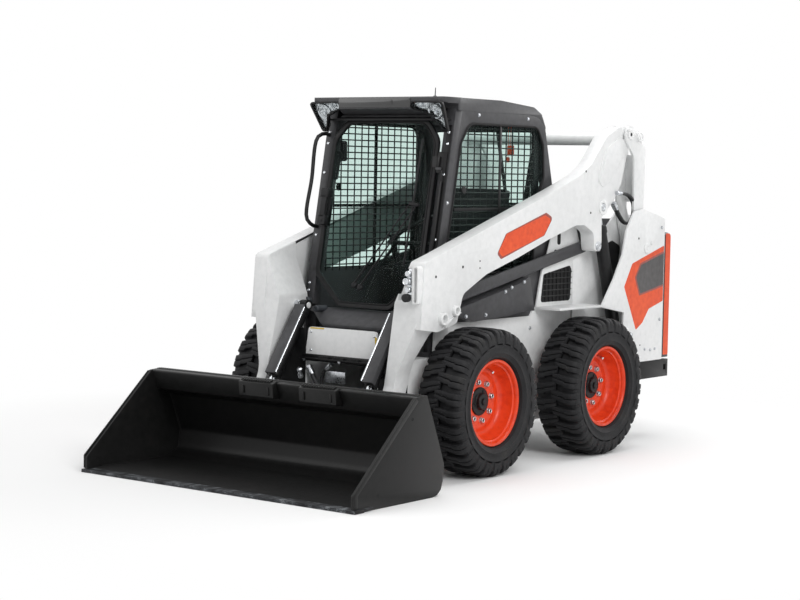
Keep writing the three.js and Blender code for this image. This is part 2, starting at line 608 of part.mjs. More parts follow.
const PANE = [9, 4];                  // a pane's inner and outer faces, in from the wall's face
addPair('side_window', slab(inset(SIDE_WINDOW, WINDOW_CENTRE, GAP), CAB_HALF - PANE[0],
  CAB_HALF - PANE[1]), GLASS);

// A sheet that follows the cab's rear, between two depths in from it.
function rearSheet(from, to, half, low) {
  const [topY, topZ] = REAR_TOP;
  const across = 1.05;                // the lean makes a sheet's depth along Y a little longer
  return slab([
    [CAB_REAR - from, low], [CAB_REAR - from, REAR_KNEE], [topY - from * across, topZ],
    [topY - to * across, topZ], [CAB_REAR - to, REAR_KNEE], [CAB_REAR - to, low],
  ], -half, half);
}
function rearPanel() {
  const panel = rearSheet(GAP, CAB_WALL, CAB_HALF - CAB_WALL - GAP, CAB_FLOOR + GAP);
  return panel.subtract(frontal(REAR_WINDOW, 0, CAB_REAR + 1));
}
addPiece('cab_rear_panel', rearPanel(), GREY);
const REAR_CENTRE = [0, 1570];
addPiece('rear_window', rearSheet(PANE[1], PANE[0], CAB_HALF, CAB_FLOOR)
  .intersect(frontal(inset(REAR_WINDOW, REAR_CENTRE, GAP), 0, CAB_REAR)), GLASS);

const ROOF_FRONT = -650;
const LAMP = [                        // outline of a work light, [x, z]
  [CAB_HALF - 190, 1902, 14], [CAB_HALF + 22, 1902, 24], [CAB_HALF - 2, 1748, 14],
  [CAB_HALF - 32, 1748, 14], [CAB_HALF - 88, 1832, 40], [CAB_HALF - 190, 1868, 20],
];
const LAMP_SLOPE = [
  [ROOF_FRONT + 3, 1910], [ROOF_FRONT + 3, 1890], [-560, 1745], [-500, 1745], [-500, 1910],
];
function workLight() {
  const lamp = frontal(LAMP, ROOF_FRONT - 10, -500).intersect(slab(LAMP_SLOPE, 0, CAB_HALF + 30));
  const cab = slab(inset(CAB_OUTLINE, CAB_CENTRE, -GAP), 0, CAB_HALF + GAP);
  return lamp.subtract(cab);
}
addPair('work_light', workLight(), LENS);

function cabRoof() {
  const shell = slab([
    [ROOF_FRONT, 1864, 8], [ROOF_FRONT, ROOF_TOP, 18], [-90, ROOF_TOP, 60],
    [230, ROOF_TOP - 24, 60], [REAR_TOP[0] - 34, ROOF_TOP - 62, 50], [REAR_TOP[0] + 8, 1794, 24],
    [REAR_TOP[0] + 4, REAR_TOP[1] - 14], [REAR_TOP[0] - 30, REAR_TOP[1]],
    [frontAt(WALL_TOP), 1780], [frontAt(1838) - 6, 1838, 10],
  ], -CAB_HALF - 14, CAB_HALF + 14);
  const plan = level([
    [-CAB_HALF - 14, ROOF_FRONT, 60], [CAB_HALF + 14, ROOF_FRONT, 60], [CAB_HALF + 14, -480],
    [CAB_HALF + 1, -440], [CAB_HALF + 1, 400, 30], [-CAB_HALF - 1, 400, 30], [-CAB_HALF - 1, -440],
    [-CAB_HALF - 14, -480],
  ], 1700, ROOF_TOP + 1);
  const cab = slab(inset(CAB_OUTLINE, CAB_CENTRE, -GAP), -CAB_HALF - GAP, CAB_HALF + GAP);
  const side = box(CAB_HALF - 1, CAB_HALF + 20, -900, 500, 1700, WALL_TOP - 14);
  const lamp = frontal(LAMP, ROOF_FRONT - 1, -500);
  const room = 2 * GAP;
  const pocket = union(...[[room, room], [room, -room], [-room, room], [-room, -room]]
    .map(([x, z]) => lamp.translate([x, 0, z])));
  const below = union(side, pocket);
  return shell.intersect(plan).subtract(cab).subtract(below).subtract(mirrored(below));
}
addPiece('cab_roof', cabRoof(), GREY);

function grabHandle() {
  const x = -CAB_HALF + 20;
  const y = CAB_FRONT - 2 * GAP;
  const out = 78;
  return leaned(tube([
    [x, y, 1745], [x, y - 40, 1745], [x - 14, y - out, 1715], [x - 16, y - out, 1490],
    [x - 14, y - out, 1275], [x, y - 40, 1245], [x, y, 1245],
  ], 11, 22));
}
addPiece('grab_handle', grabHandle(), BLACK);

// ---------------------------------------------------------------- seat
const SEAT_Z = 940;
function seatBase() {
  const pedestal = slab([
    [-120, SEAT_Z - 60, 20], [-60, CAB_FLOOR + GAP], [330, CAB_FLOOR + GAP], [330, SEAT_Z],
    [-150, SEAT_Z],
  ], -200, 200);
  const console = (side) => box(side > 0 ? 199 : -330, side > 0 ? 330 : -199, -120, 300,
    CAB_FLOOR + GAP, SEAT_Z + 60);
  const lever = (x) => bar([x, -80, SEAT_Z + 40], [x, -130, SEAT_Z + 160], 16, 12);
  return union(pedestal, console(1), console(-1), lever(240), lever(-240));
}
addPiece('seat_base', seatBase(), VINYL);
addPiece('seat_cushion', slab([
  [-160, SEAT_Z + GAP], [250, SEAT_Z + GAP], [250, SEAT_Z + 90, 30], [-170, SEAT_Z + 110, 40],
], -190, 190), VINYL);
addPiece('seat_backrest', slab([
  [250 + GAP, SEAT_Z + 60], [330, SEAT_Z + 60], [390, 1440, 30], [320, 1470, 40],
], -180, 180), VINYL);

const BAR_PIVOT = [300, 1290];
function seatBar() {
  const reach = -180;
  const half = 285;
  const drop = 1150;
  const loop = tube([
    [half, BAR_PIVOT[0], BAR_PIVOT[1]], [half, BAR_PIVOT[0] - 60, BAR_PIVOT[1] - 10],
    [half, 0, drop + 60], [half, reach + 60, drop], [half - 60, reach, drop], [0, reach, drop],
    [-half + 60, reach, drop], [-half, reach + 60, drop], [-half, 0, drop + 60],
    [-half, BAR_PIVOT[0] - 60, BAR_PIVOT[1] - 10], [-half, BAR_PIVOT[0], BAR_PIVOT[1]],
  ], 13, 36);
  const pivot = (side) => cross(side * (half - 10), side * (CAB_HALF - CAB_WALL - GAP), BAR_PIVOT, 18);
  return union(loop, pivot(1), pivot(-1));
}
addPiece('seat_bar', seatBar(), BLACK);

// ---------------------------------------------------------------- door
const DOOR_THICK = 18;
const DOOR_FRONT = CAB_FRONT - LID_GAP - DOOR_THICK;
const DOOR_TOP = 1832;                // along the leaning front
const DOOR_RIM = 24;                  // width of the frame round the glass
const DOOR_CHAMFER = [182, 165];      // across and up, at the lower corners
const DOOR_SHOULDER = [90, 110];      // across and down, at the upper corners
const HANDLE = [DOOR_RIGHT + 2, DOOR_RIGHT + 42, 1250, 1436];
function doorOutline(by) {
  const [across, up] = DOOR_CHAMFER;
  const [over, down] = DOOR_SHOULDER;
  const left = DOOR_LEFT - by;
  const right = DOOR_RIGHT + by;
  const slip = by / 2;
  return [
    [right + across - slip, DOOR_SILL + by, 40], [left - across + slip, DOOR_SILL + by, 40],
    [left, DOOR_SILL + up + slip, 60], [left, DOOR_TOP - down - slip, 90],
    [left - over + slip, DOOR_TOP - by, 90], [right + over - slip, DOOR_TOP - by, 90],
    [right, DOOR_TOP - down - slip, 90], [right, DOOR_SILL + up + slip, 60],
  ];
}
function doorFrame() {
  const leaf = frontal(doorOutline(0), DOOR_FRONT, DOOR_FRONT + DOOR_THICK);
  const opening = frontal(doorOutline(DOOR_RIM), DOOR_FRONT - 1, DOOR_FRONT + DOOR_THICK + 1);
  const [right, left, low, high] = HANDLE;
  const handle = box(right, left, DOOR_FRONT - 30, DOOR_FRONT + DOOR_THICK, low, high);
  const [x, y] = DOOR_AXIS;
  const barrels = DOOR_HINGES.map((z) => {
    const from = z + PLATE + 1;
    const ring = bar([x, y, from], [x, y, z + HINGE_LENGTH], HINGE_BARREL - 4, 12);
    return ring.add(box(DOOR_LEFT - 20, x, y - 6, DOOR_FRONT + 2, from, z + HINGE_LENGTH));
  });
  const bores = DOOR_HINGES.map((z) => bar([x, y, z], [x, y, z + HINGE_LENGTH + 1],
    HINGE_PIN - 2 + PIN_FIT, 12));
  return leaf.subtract(opening).add(handle).add(union(...barrels)).subtract(union(...bores));
}
addPiece('door_frame', leaned(doorFrame()), BLACK);
const [handleRight, handleLeft, handleLow, handleHigh] = HANDLE;
const handleNotch = box(handleRight, handleLeft + GAP, DOOR_FRONT - 1, DOOR_FRONT + DOOR_THICK,
  handleLow - GAP, handleHigh + GAP);
addPiece('door_glass', leaned(frontal(doorOutline(DOOR_RIM + GAP), DOOR_FRONT + 5, DOOR_FRONT + 11)
  .subtract(handleNotch)), GLASS);

// ---------------------------------------------------------------- rear links
function rearLink() {
  const [py, pz] = REAR_PIVOT;
  const [ay, az] = ARM_PIVOT;
  const cheek = [
    [ay - 52, az - 20, 40], [ay - 30, az + 50, 40], [ay + 60, az + 50, 40], [aft(635), 1700, 60],
    [aft(629), 1355, 40], [py + 62, pz + 60, 40], [py + 62, pz - 62, 50], [py - 62, pz - 62, 50],
    [py - 62, pz + 60, 40], [aft(521), 1350, 40], [aft(515), 1640, 60],
  ];
  const plates = union(slab(cheek, LINK_IN, LINK_IN + LINK_PLATE),
    slab(cheek, LINK_OUT, LINK_OUT + LINK_PLATE));
  const web = slab([
    [aft(625), 1390], [aft(625), 1660], [aft(609), 1660], [aft(609), 1390],
  ], LINK_IN + 1, LINK_OUT + 1);
  const pin = cross(LINK_IN + 1, LINK_OUT + LINK_PLATE + 6, ARM_PIVOT, PIN_RADIUS);
  const bore = cross(0, UPRIGHT_OUT, REAR_PIVOT, PIN_RADIUS + 2 + PIN_FIT);
  return union(plates, web, pin).subtract(bore);
}
addPair('rear_link', rearLink(), WHITE);

// ---------------------------------------------------------------- lift arms
const LEG_OUT = LEG_IN + LEG_WIDTH;
const BLOCK_REAR = fore(171);         // rear end of the arm's wide front block

function liftArm() {
  const [ay, az] = ARM_PIVOT;
  const [fy, fz] = CONTROL_REAR;
  const beam = slab([
    [fore(393), 1092, 30], [fore(191), 1155, 60], [287, 1464, 60], [500, 1535, 80], [aft(79), 1600, 120],
    [aft(239), 1760, 80], [aft(380), 1815, 60], [ay + 10, az + 42, 40], [ay + 50, az - 30, 40],
    [aft(459), 1660, 40], [aft(407), 1502, 60], [aft(319), 1390, 40], [aft(225), 1328, 20],
    [aft(197), 1300, 20],
    [fy + 38, fz + 30, 20], [fy + 30, fz - 30, 24], [fy - 36, fz - 26, 24], [fy - 50, 1220, 40],
    [560, 1262, 60], [470, 1262, 40], [188, 1187], [-91, 1101], [-394, 1019], [-600, 925, 60],
    [fore(109), 780, 30], [fore(276), 742, 20], [fore(419), 760],
  ], ARM_IN, ARM_OUT);
  const frontView = frontal([
    [ARM_IN - 4, 1200], [ARM_OUT, 1200], [ARM_OUT, 880, 60], [LEG_OUT, 520, 120],
    [LEG_OUT, 100], [LEG_IN, 100], [LEG_IN, 560, 100], [LEG_IN - 8, 880, 60], [ARM_IN - 6, 1080],
  ], fore(759), BLOCK_REAR);
  const sideView = slab([
    [fore(393), 1092, 30], [BLOCK_REAR + 20, 1161], [BLOCK_REAR + 20, 762], [fore(276), 742, 60],
    [fore(354), 600, 60], [fore(364), 500, 60], [fore(459), 240, 40],
    [TOOL_PIVOT[0] + 46, TOOL_PIVOT[1] - 46, 46],
    [TOOL_PIVOT[0] - 46, TOOL_PIVOT[1] - 46, 46], [TOOL_PIVOT[0] - 40, 300, 60],
    [fore(485), 475, 60], [fore(404), 860, 100],
  ], LEG_IN - 20, ARM_OUT + 1);
  const slot = box(ARM_MID - 31, ARM_MID + 31, LIFT_EYE[0] - 50, LIFT_EYE[0] + 125,
    LIFT_EYE[1] - 75, LIFT_EYE[1] + 135);
  const tiltPin = cross(TILT_X - 24, LEG_IN + 4, TILT_BASE, 16);
  const pivotBore = cross(ARM_IN - 1, ARM_OUT + 1, ARM_PIVOT, PIN_RADIUS + PIN_FIT);
  const rearFork = slab([
    [ay - 60, az - 110], [ay + 90, az - 110], [ay + 90, az + 90], [ay - 60, az + 90],
  ], ARM_OUT - 10, ARM_OUT + 1);
  const toolBore = cross(LEG_IN - 1, LEG_OUT + 1, TOOL_PIVOT, PIN_RADIUS + PIN_FIT);
  return union(beam, frontView.intersect(sideView)).add(tiltPin).subtract(slot)
    .subtract(pivotBore).subtract(rearFork).subtract(toolBore);
}
const COUPLER_BAY = [ARM_IN - 10, ARM_IN + 34, fore(374), 900, 1060];  // x, x, rear y, z, z
function couplers() {
  const [x0, x1, rear, z0, z1] = COUPLER_BAY;
  const mid = (x0 + x1) / 2;
  const block = box(x0 + GAP, x1 - GAP, rear - 26, rear - GAP, z0 + GAP, z1 - GAP);
  const nose = (share) => {
    const z = z0 + (z1 - z0) * share;
    return bar([mid, rear - 60, z], [mid, rear - 20, z], 14, 12);
  };
  return union(block, nose(0.2), nose(0.5), nose(0.8));
}
const arm = liftArm();
const [bayIn, bayOut, bayRear, bayLow, bayHigh] = COUPLER_BAY;
const bay = box(bayIn - 60, bayOut, bayRear - 200, bayRear, bayLow, bayHigh);
addPiece('left_lift_arm', arm.subtract(bay), WHITE);
addPiece('right_lift_arm', mirrored(arm), WHITE);
addPiece('hydraulic_couplers', couplers(), STEEL);

const CROSS_TUBE = [aft(349), 1744];
addPiece('rear_cross_tube', cross(-ARM_IN + GAP, ARM_IN - GAP, CROSS_TUBE, 35, 32), WHITE);

const CROSSMEMBER = [fore(459), 300];
addPiece('arm_crossmember', cross(-LEG_IN + GAP, LEG_IN - GAP, CROSSMEMBER, 32), WHITE);

// ---------------------------------------------------------------- control links
function controlLink() {
  const body = slab([
    ...[[CONTROL_FRONT, -1], [CONTROL_REAR, 1]].flatMap(([[y, z], way]) => [
      [y + way * 34, z + way * 34, 30], [y + way * 34, z - way * 34, 30],
    ]),
  ], CONTROL_IN, CONTROL_IN + CONTROL_PLATE);
  return body.subtract(cross(CONTROL_IN - 1, ARM_IN, CONTROL_FRONT, PIN_RADIUS + PIN_FIT));
}
addPair('control_link', controlLink(), GREY);

// ---------------------------------------------------------------- cylinders
// A cylinder's tube and rod lie on the line between its two pins.
function cylinder({
  base, eye, x, tubeRadius, tubeLength, rodRadius, rodStart, eyeRadius, eyeWidth, basePin,
}) {
  const at = ([y, z]) => [x, y, z];
  const half = eyeWidth / 2;
  const tubeEnd = along(base, eye, tubeLength);
  const shell = union(
    bar(at(along(base, eye, eyeRadius - 4)), at(tubeEnd), tubeRadius),
    cross(x - half, x + half, base, eyeRadius),
  );
  const deep = bar(at(along(base, eye, eyeRadius + 6)), at(along(base, eye, tubeLength + 1)),
    rodRadius + PIN_FIT);
  const barrel = shell.subtract(cross(x - half - 1, x + half + 1, base, basePin + PIN_FIT))
    .subtract(deep);
  const span = Math.hypot(eye[0] - base[0], eye[1] - base[1]);
  const rod = union(
    bar(at(along(base, eye, rodStart)), at(along(base, eye, span - eyeRadius + 6)), rodRadius),
    cross(x - half, x + half, eye, eyeRadius),
  );
  return { barrel, rod };
}

const lift = cylinder({
  base: LIFT_BASE, eye: LIFT_EYE, x: ARM_MID, tubeRadius: 38, tubeLength: 640, rodRadius: 22, rodStart: 50,
  eyeRadius: 32, eyeWidth: 62 - 2 * EYE_FIT, basePin: PIN_RADIUS,
});
addPair('lift_cylinder_tube', lift.barrel, BLACK);
addPair('lift_cylinder_rod', lift.rod, STEEL);

const tilt = cylinder({
  base: TILT_BASE, eye: TILT_EYE, x: TILT_X, tubeRadius: 32, tubeLength: 438, rodRadius: 18, rodStart: 116,
  eyeRadius: 28, eyeWidth: 40, basePin: 16,
});
addPair('tilt_cylinder_tube', tilt.barrel, BLACK);
addPair('tilt_cylinder_rod', tilt.rod, STEEL);

// ---------------------------------------------------------------- tool carrier and bucket
const LEAN = 0.432;                   // how far the bucket's back leans forward as it rises
const backLine = (z) => BUCKET_BACK - (z - 147) * LEAN;

const FACE = 16;                      // thickness of the carrier's face, along Y
function toolCarrier() {
  const seat = GAP * Math.hypot(1, LEAN);
  const face = slab([
    [backLine(130) + seat, 130], [backLine(470) + seat, 470],
    [backLine(470) + seat + FACE, 470], [backLine(130) + seat + FACE, 130],
  ], -ARM_OUT - 4, ARM_OUT + 4);
  const pivotEar = [
    [backLine(130) + 10, 130], [TOOL_PIVOT[0] - 20, TOOL_PIVOT[1] - 40, 20],
    [TOOL_PIVOT[0] + 38, TOOL_PIVOT[1] - 38, 38], [TOOL_PIVOT[0] + 38, TOOL_PIVOT[1] + 38, 38],
    [backLine(300) + 60, 330], [backLine(330) + 10, 330],
  ];
  const ears = [LEG_IN - 6 - LINK_PLATE, LEG_OUT + 6].map((x) => slab(pivotEar, x, x + LINK_PLATE));
  const pin = cross(LEG_IN - 12, LEG_OUT + 12, TOOL_PIVOT, PIN_RADIUS);
  const eyeEar = [
    [backLine(360) + 10, 360], [TILT_EYE[0] + 30, TILT_EYE[1] - 36, 24],
    [TILT_EYE[0] + 34, TILT_EYE[1] + 34, 30], [backLine(465) + 10, 465],
  ];
  const eyeGap = 20 + EYE_FIT;
  const eyes = [TILT_X - eyeGap - PLATE, TILT_X + eyeGap].map((x) => slab(eyeEar, x, x + PLATE));
  const side = union(...ears, pin, ...eyes);
  return union(face, side, mirrored(side));
}
addPiece('tool_carrier', toolCarrier(), BLACK);

function bucket() {
  const half = BUCKET_WIDTH / 2;
  const side = 16;
  const heel = [[backLine(70), 70, 60], [-1185, 0, 90]];
  const outer = [
    [BUCKET_EDGE, 0], [BUCKET_EDGE, 6], [BUCKET_EDGE + 60, 20], [-1290, 22, 60],
    [-1196, 60, 60], [-1184, 160, 40], [-1262, 352, 20], [-1362, 385, 10], [-1405, 487, 8],
    [backLine(BUCKET_HEIGHT), BUCKET_HEIGHT, 8], [BUCKET_BACK, 147, 60], heel[1],
  ];
  const shell = slab(outer, -half + side - 1, half - side + 1);
  const cheek = slab([
    [BUCKET_EDGE, 0], [BUCKET_EDGE, 80, 10], [-1405, 487, 10],
    [backLine(BUCKET_HEIGHT), BUCKET_HEIGHT, 8], [BUCKET_BACK, 147, 60], heel[1],
  ], half - side, half);
  const [beyond, ahead, thick] = LIP;
  const lip = box(-half - beyond, half + beyond, BUCKET_EDGE - ahead, BUCKET_EDGE + 140, 0, thick);
  const ends = box(half, half + beyond + 1, BUCKET_EDGE + 60, BUCKET_EDGE + 141, -1, thick + 1);
  return union(shell, cheek, mirrored(cheek), lip).subtract(ends).subtract(mirrored(ends));
}
addPiece('bucket', bucket(), BLACK);

export default loader;
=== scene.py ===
"""Skid steer loader: the visible pieces, finishes, stage and camera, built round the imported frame."""

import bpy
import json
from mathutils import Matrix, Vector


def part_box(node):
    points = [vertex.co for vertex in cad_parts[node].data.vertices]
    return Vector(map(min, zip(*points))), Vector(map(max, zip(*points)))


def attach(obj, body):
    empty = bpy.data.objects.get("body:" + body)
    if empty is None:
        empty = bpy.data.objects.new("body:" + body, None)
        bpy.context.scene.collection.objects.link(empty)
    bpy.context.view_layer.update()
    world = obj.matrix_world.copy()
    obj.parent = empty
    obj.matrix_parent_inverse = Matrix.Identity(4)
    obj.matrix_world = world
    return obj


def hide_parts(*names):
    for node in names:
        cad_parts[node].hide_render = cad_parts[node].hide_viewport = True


bl_info = {
    "name": "Skid Steer Loader",
    "version": (1, 0, 0),
    "blender": (4, 5, 0),
    "location": "View3D > Sidebar > Loader",
    "description": "Builds the skid steer loader's visible pieces and finishes",
    "category": "Object",
}

import json
import math
import random

import bmesh
import bpy
from bpy.props import FloatProperty, FloatVectorProperty, IntProperty, PointerProperty
from bpy.types import Operator, Panel, PropertyGroup
from mathutils import Matrix, Vector

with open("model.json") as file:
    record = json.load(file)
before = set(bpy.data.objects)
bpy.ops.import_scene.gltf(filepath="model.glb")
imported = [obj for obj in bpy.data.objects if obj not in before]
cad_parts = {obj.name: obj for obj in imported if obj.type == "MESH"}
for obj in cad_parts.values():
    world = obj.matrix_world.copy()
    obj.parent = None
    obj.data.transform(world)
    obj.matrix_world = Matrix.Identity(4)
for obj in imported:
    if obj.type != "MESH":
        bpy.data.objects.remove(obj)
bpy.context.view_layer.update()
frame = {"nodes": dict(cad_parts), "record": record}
MM = 0.001
HUBS = {end: (Vector(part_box(f"{end}_left_tyre")[0]) + Vector(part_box(f"{end}_left_tyre")[1])) / 2
        for end in ("front", "rear")}
AFT = (HUBS["front"].y + HUBS["rear"].y) / 2   # the middle of the wheelbase, along the frame's Y
SIDES = (("left", 1), ("right", -1))
ENDS = ("front", "rear")


# ---------------------------------------------------------------- colour and node helpers
def linear(colour):
    """Turns an sRGB hex colour into linear red, green, blue and alpha."""
    parts = [int(colour[i:i + 2], 16) / 255 for i in (1, 3, 5)]
    return [c / 12.92 if c <= 0.04045 else ((c + 0.055) / 1.055) ** 2.4 for c in parts] + [1.0]


def add(tree, kind, inputs=None, **settings):
    """Adds one node. Inputs are values or other nodes' outputs, by socket name or number."""
    node = tree.nodes.new(kind)
    for key, value in settings.items():
        setattr(node, key, value)
    for key, value in (inputs or {}).items():
        socket = node.inputs[key]
        if isinstance(value, bpy.types.NodeSocket):
            tree.links.new(value, socket)
        elif isinstance(value, bpy.types.Node):
            tree.links.new(value.outputs[0], socket)
        else:
            socket.default_value = value
    return node


def new_material(name):
    """An empty node material, and its tree, its shader and its Object coordinates."""
    material = bpy.data.materials.new(name)
    material.use_nodes = True
    tree = material.node_tree
    tree.nodes.clear()
    shader = add(tree, "ShaderNodeBsdfPrincipled")
    add(tree, "ShaderNodeOutputMaterial", {"Surface": shader})
    place = add(tree, "ShaderNodeTexCoord").outputs["Object"]
    return material, tree, shader, place


def shades(tree, factor, stops):
    """A colour ramp over hex colours at the given places."""
    ramp = add(tree, "ShaderNodeValToRGB", {"Fac": factor})
    points = ramp.color_ramp.elements
    points[0].position, points[0].color = stops[0][0], linear(stops[0][1])
    points[1].position, points[1].color = stops[-1][0], linear(stops[-1][1])
    for at, colour in stops[1:-1]:
        points.new(at).color = linear(colour)
    return ramp


def per_metre(size_mm):
    """The scale of a noise texture whose grains are about this large."""
    return 1000 / size_mm


def mixed_roughness(tree, factor, low, high):
    """A roughness that goes from low to high with a texture."""
    return add(tree, "ShaderNodeMapRange", {"Value": factor, "To Min": low, "To Max": high})


# ---------------------------------------------------------------- finishes
def painted_steel(name, colour, dark, pale, rough=(0.32, 0.46), coat=0.25, specular=0.5):
    """Sprayed enamel on welded steel plate: an even colour with a faint orange peel, thin dust
    in large soft patches and a gloss that varies with it. The peel of real enamel is 2 mm
    across and is drawn 6 mm across, so that it shows."""
    material, tree, shader, place = new_material(name)
    patches = add(tree, "ShaderNodeTexNoise", {"Vector": place, "Scale": per_metre(420), "Detail": 6.0})
    specks = add(tree, "ShaderNodeTexNoise", {"Vector": place, "Scale": per_metre(30), "Detail": 4.0})
    peel = add(tree, "ShaderNodeTexNoise", {"Vector": place, "Scale": per_metre(6), "Detail": 2.0})
    blend = add(tree, "ShaderNodeMath", {0: patches.outputs["Fac"], 1: specks.outputs["Fac"]},
                operation="MULTIPLY_ADD")
    blend.inputs[2].default_value = 0.12
    tone = shades(tree, blend, ((0.22, dark), (0.38, colour), (0.62, pale)))
    tree.links.new(tone.outputs["Color"], shader.inputs["Base Color"])
    gloss = mixed_roughness(tree, specks.outputs["Fac"], *rough)
    tree.links.new(gloss.outputs[0], shader.inputs["Roughness"])
    bump = add(tree, "ShaderNodeBump", {"Height": peel.outputs["Fac"], "Strength": 0.05,
                                        "Distance": 1 * MM})
    tree.links.new(bump.outputs[0], shader.inputs["Normal"])
    shader.inputs["Coat Weight"].default_value = coat
    shader.inputs["Coat Roughness"].default_value = 0.12
    shader.inputs["Specular IOR Level"].default_value = specular
    return material


def tyre_rubber():
    """Carbon-black tyre rubber, moulded: matt, faintly brown where dust sits, with mould grain
    and the small flow marks of a rough casting."""
    material, tree, shader, place = new_material("moulded_tyre_rubber")
    dust = add(tree, "ShaderNodeTexNoise", {"Vector": place, "Scale": per_metre(120), "Detail": 8.0})
    grain = add(tree, "ShaderNodeTexNoise", {"Vector": place, "Scale": per_metre(9), "Detail": 6.0})
    tone = shades(tree, dust.outputs["Fac"], ((0.3, "#121214"), (0.55, "#1b1b1d"), (0.8, "#2a2927")))
    tree.links.new(tone.outputs["Color"], shader.inputs["Base Color"])
    gloss = mixed_roughness(tree, grain.outputs["Fac"], 0.5, 0.85)
    tree.links.new(gloss.outputs[0], shader.inputs["Roughness"])
    shader.inputs["Specular IOR Level"].default_value = 0.3
    bump = add(tree, "ShaderNodeBump", {"Height": grain.outputs["Fac"], "Strength": 0.35,
                                        "Distance": 1.5 * MM})
    tree.links.new(bump.outputs[0], shader.inputs["Normal"])
    return material


def plated_steel(name, colour, rough=(0.18, 0.4)):
    """Turned steel, zinc plated: bright metal with fine machining haze and duller blotches."""
    material, tree, shader, place = new_material(name)
    haze = add(tree, "ShaderNodeTexNoise", {"Vector": place, "Scale": per_metre(14), "Detail": 5.0})
    tone = shades(tree, haze.outputs["Fac"], ((0.3, colour), (0.7, "#d7dadd")))
    tree.links.new(tone.outputs["Color"], shader.inputs["Base Color"])
    gloss = mixed_roughness(tree, haze.outputs["Fac"], *rough)
    tree.links.new(gloss.outputs[0], shader.inputs["Roughness"])
    bump = add(tree, "ShaderNodeBump", {"Height": haze.outputs["Fac"], "Strength": 0.08,
                                        "Distance": 0.5 * MM})
    tree.links.new(bump.outputs[0], shader.inputs["Normal"])
    shader.inputs["Metallic"].default_value = 1.0
    return material


def worn_steel():
    """Abraded cutting-edge plate: bare steel scratched along the direction of travel, with
    black mill scale left in the hollows."""
    material, tree, shader, place = new_material("abraded_edge_steel")
    stretch = add(tree, "ShaderNodeMapping", {"Vector": place, "Scale": (1.0, 0.08, 1.0)})
    scratch = add(tree, "ShaderNodeTexNoise", {"Vector": stretch, "Scale": per_metre(7), "Detail": 5.0})
    scale = add(tree, "ShaderNodeTexNoise", {"Vector": place, "Scale": per_metre(60), "Detail": 6.0})
    blend = add(tree, "ShaderNodeMath", {0: scratch.outputs["Fac"], 1: scale.outputs["Fac"]},
                operation="MULTIPLY")
    tone = shades(tree, blend, ((0.16, "#1d1d1f"), (0.27, "#3e4043"), (0.42, "#85888b")))
    tree.links.new(tone.outputs["Color"], shader.inputs["Base Color"])
    gloss = mixed_roughness(tree, scratch.outputs["Fac"], 0.35, 0.65)
    tree.links.new(gloss.outputs[0], shader.inputs["Roughness"])
    bump = add(tree, "ShaderNodeBump", {"Height": blend, "Strength": 0.2, "Distance": 1 * MM})
    tree.links.new(bump.outputs[0], shader.inputs["Normal"])
    shader.inputs["Metallic"].default_value = 0.7
    return material


def moulded_plastic(name, colour, pale, rough=(0.45, 0.62)):
    """Injection-moulded ABS with a spark-eroded grain. The grain is really 0.8 mm across and is
    drawn 3 mm across, so that it shows."""
    material, tree, shader, place = new_material(name)
    grain = add(tree, "ShaderNodeTexVoronoi", {"Vector": place, "Scale": per_metre(3)})
    cloud = add(tree, "ShaderNodeTexNoise", {"Vector": place, "Scale": per_metre(90), "Detail": 4.0})
    tone = shades(tree, cloud.outputs["Fac"], ((0.3, colour), (0.75, pale)))
    tree.links.new(tone.outputs["Color"], shader.inputs["Base Color"])
    gloss = mixed_roughness(tree, cloud.outputs["Fac"], *rough)
    tree.links.new(gloss.outputs[0], shader.inputs["Roughness"])
    shader.inputs["Specular IOR Level"].default_value = 0.3
    bump = add(tree, "ShaderNodeBump", {"Height": grain.outputs["Distance"], "Strength": 0.12,
                                        "Distance": 0.6 * MM})
    tree.links.new(bump.outputs[0], shader.inputs["Normal"])
    return material


def seat_vinyl():
    """Calendered vinyl over foam: an embossed leather grain with a soft sheen on the crests.
    The cells are really 2 mm across and are drawn 4 mm across."""
    material, tree, shader, place = new_material("embossed_seat_vinyl")
    cells = add(tree, "ShaderNodeTexVoronoi", {"Vector": place, "Scale": per_metre(4)},
                feature="DISTANCE_TO_EDGE")
    cloud = add(tree, "ShaderNodeTexNoise", {"Vector": place, "Scale": per_metre(70), "Detail": 4.0})
    tone = shades(tree, cloud.outputs["Fac"], ((0.3, "#1c1d1f"), (0.7, "#2d2e31")))
    tree.links.new(tone.outputs["Color"], shader.inputs["Base Color"])
    gloss = mixed_roughness(tree, cells.outputs["Distance"], 0.65, 0.45)
    tree.links.new(gloss.outputs[0], shader.inputs["Roughness"])
    shader.inputs["Specular IOR Level"].default_value = 0.3
    bump = add(tree, "ShaderNodeBump", {"Height": cells.outputs["Distance"], "Strength": 0.4,
                                        "Distance": 1 * MM})
    tree.links.new(bump.outputs[0], shader.inputs["Normal"])
    return material


def cab_glass(name, tint, share):
    """Float glass in a thin pane: clear and faintly green, so what is behind it shows through,
    with the gloss of its faces and a thin film of dust over the clear part."""
    material, tree, shader, place = new_material(name)
    film = add(tree, "ShaderNodeTexNoise", {"Vector": place, "Scale": per_metre(160), "Detail": 6.0})
    gloss = mixed_roughness(tree, film.outputs["Fac"], 0.02, 0.09)
    tree.links.new(gloss.outputs[0], shader.inputs["Roughness"])
    tone = shades(tree, film.outputs["Fac"], ((0.3, "#0e1715"), (0.8, "#1b2623")))
    tree.links.new(tone.outputs["Color"], shader.inputs["Base Color"])
    clear = add(tree, "ShaderNodeBsdfTransparent", {"Color": linear(tint)})
    pane = add(tree, "ShaderNodeMixShader", {0: share, 1: clear, 2: shader})
    output = next(n for n in tree.nodes if n.bl_idname == "ShaderNodeOutputMaterial")
    tree.links.new(pane.outputs[0], output.inputs["Surface"])
    return material


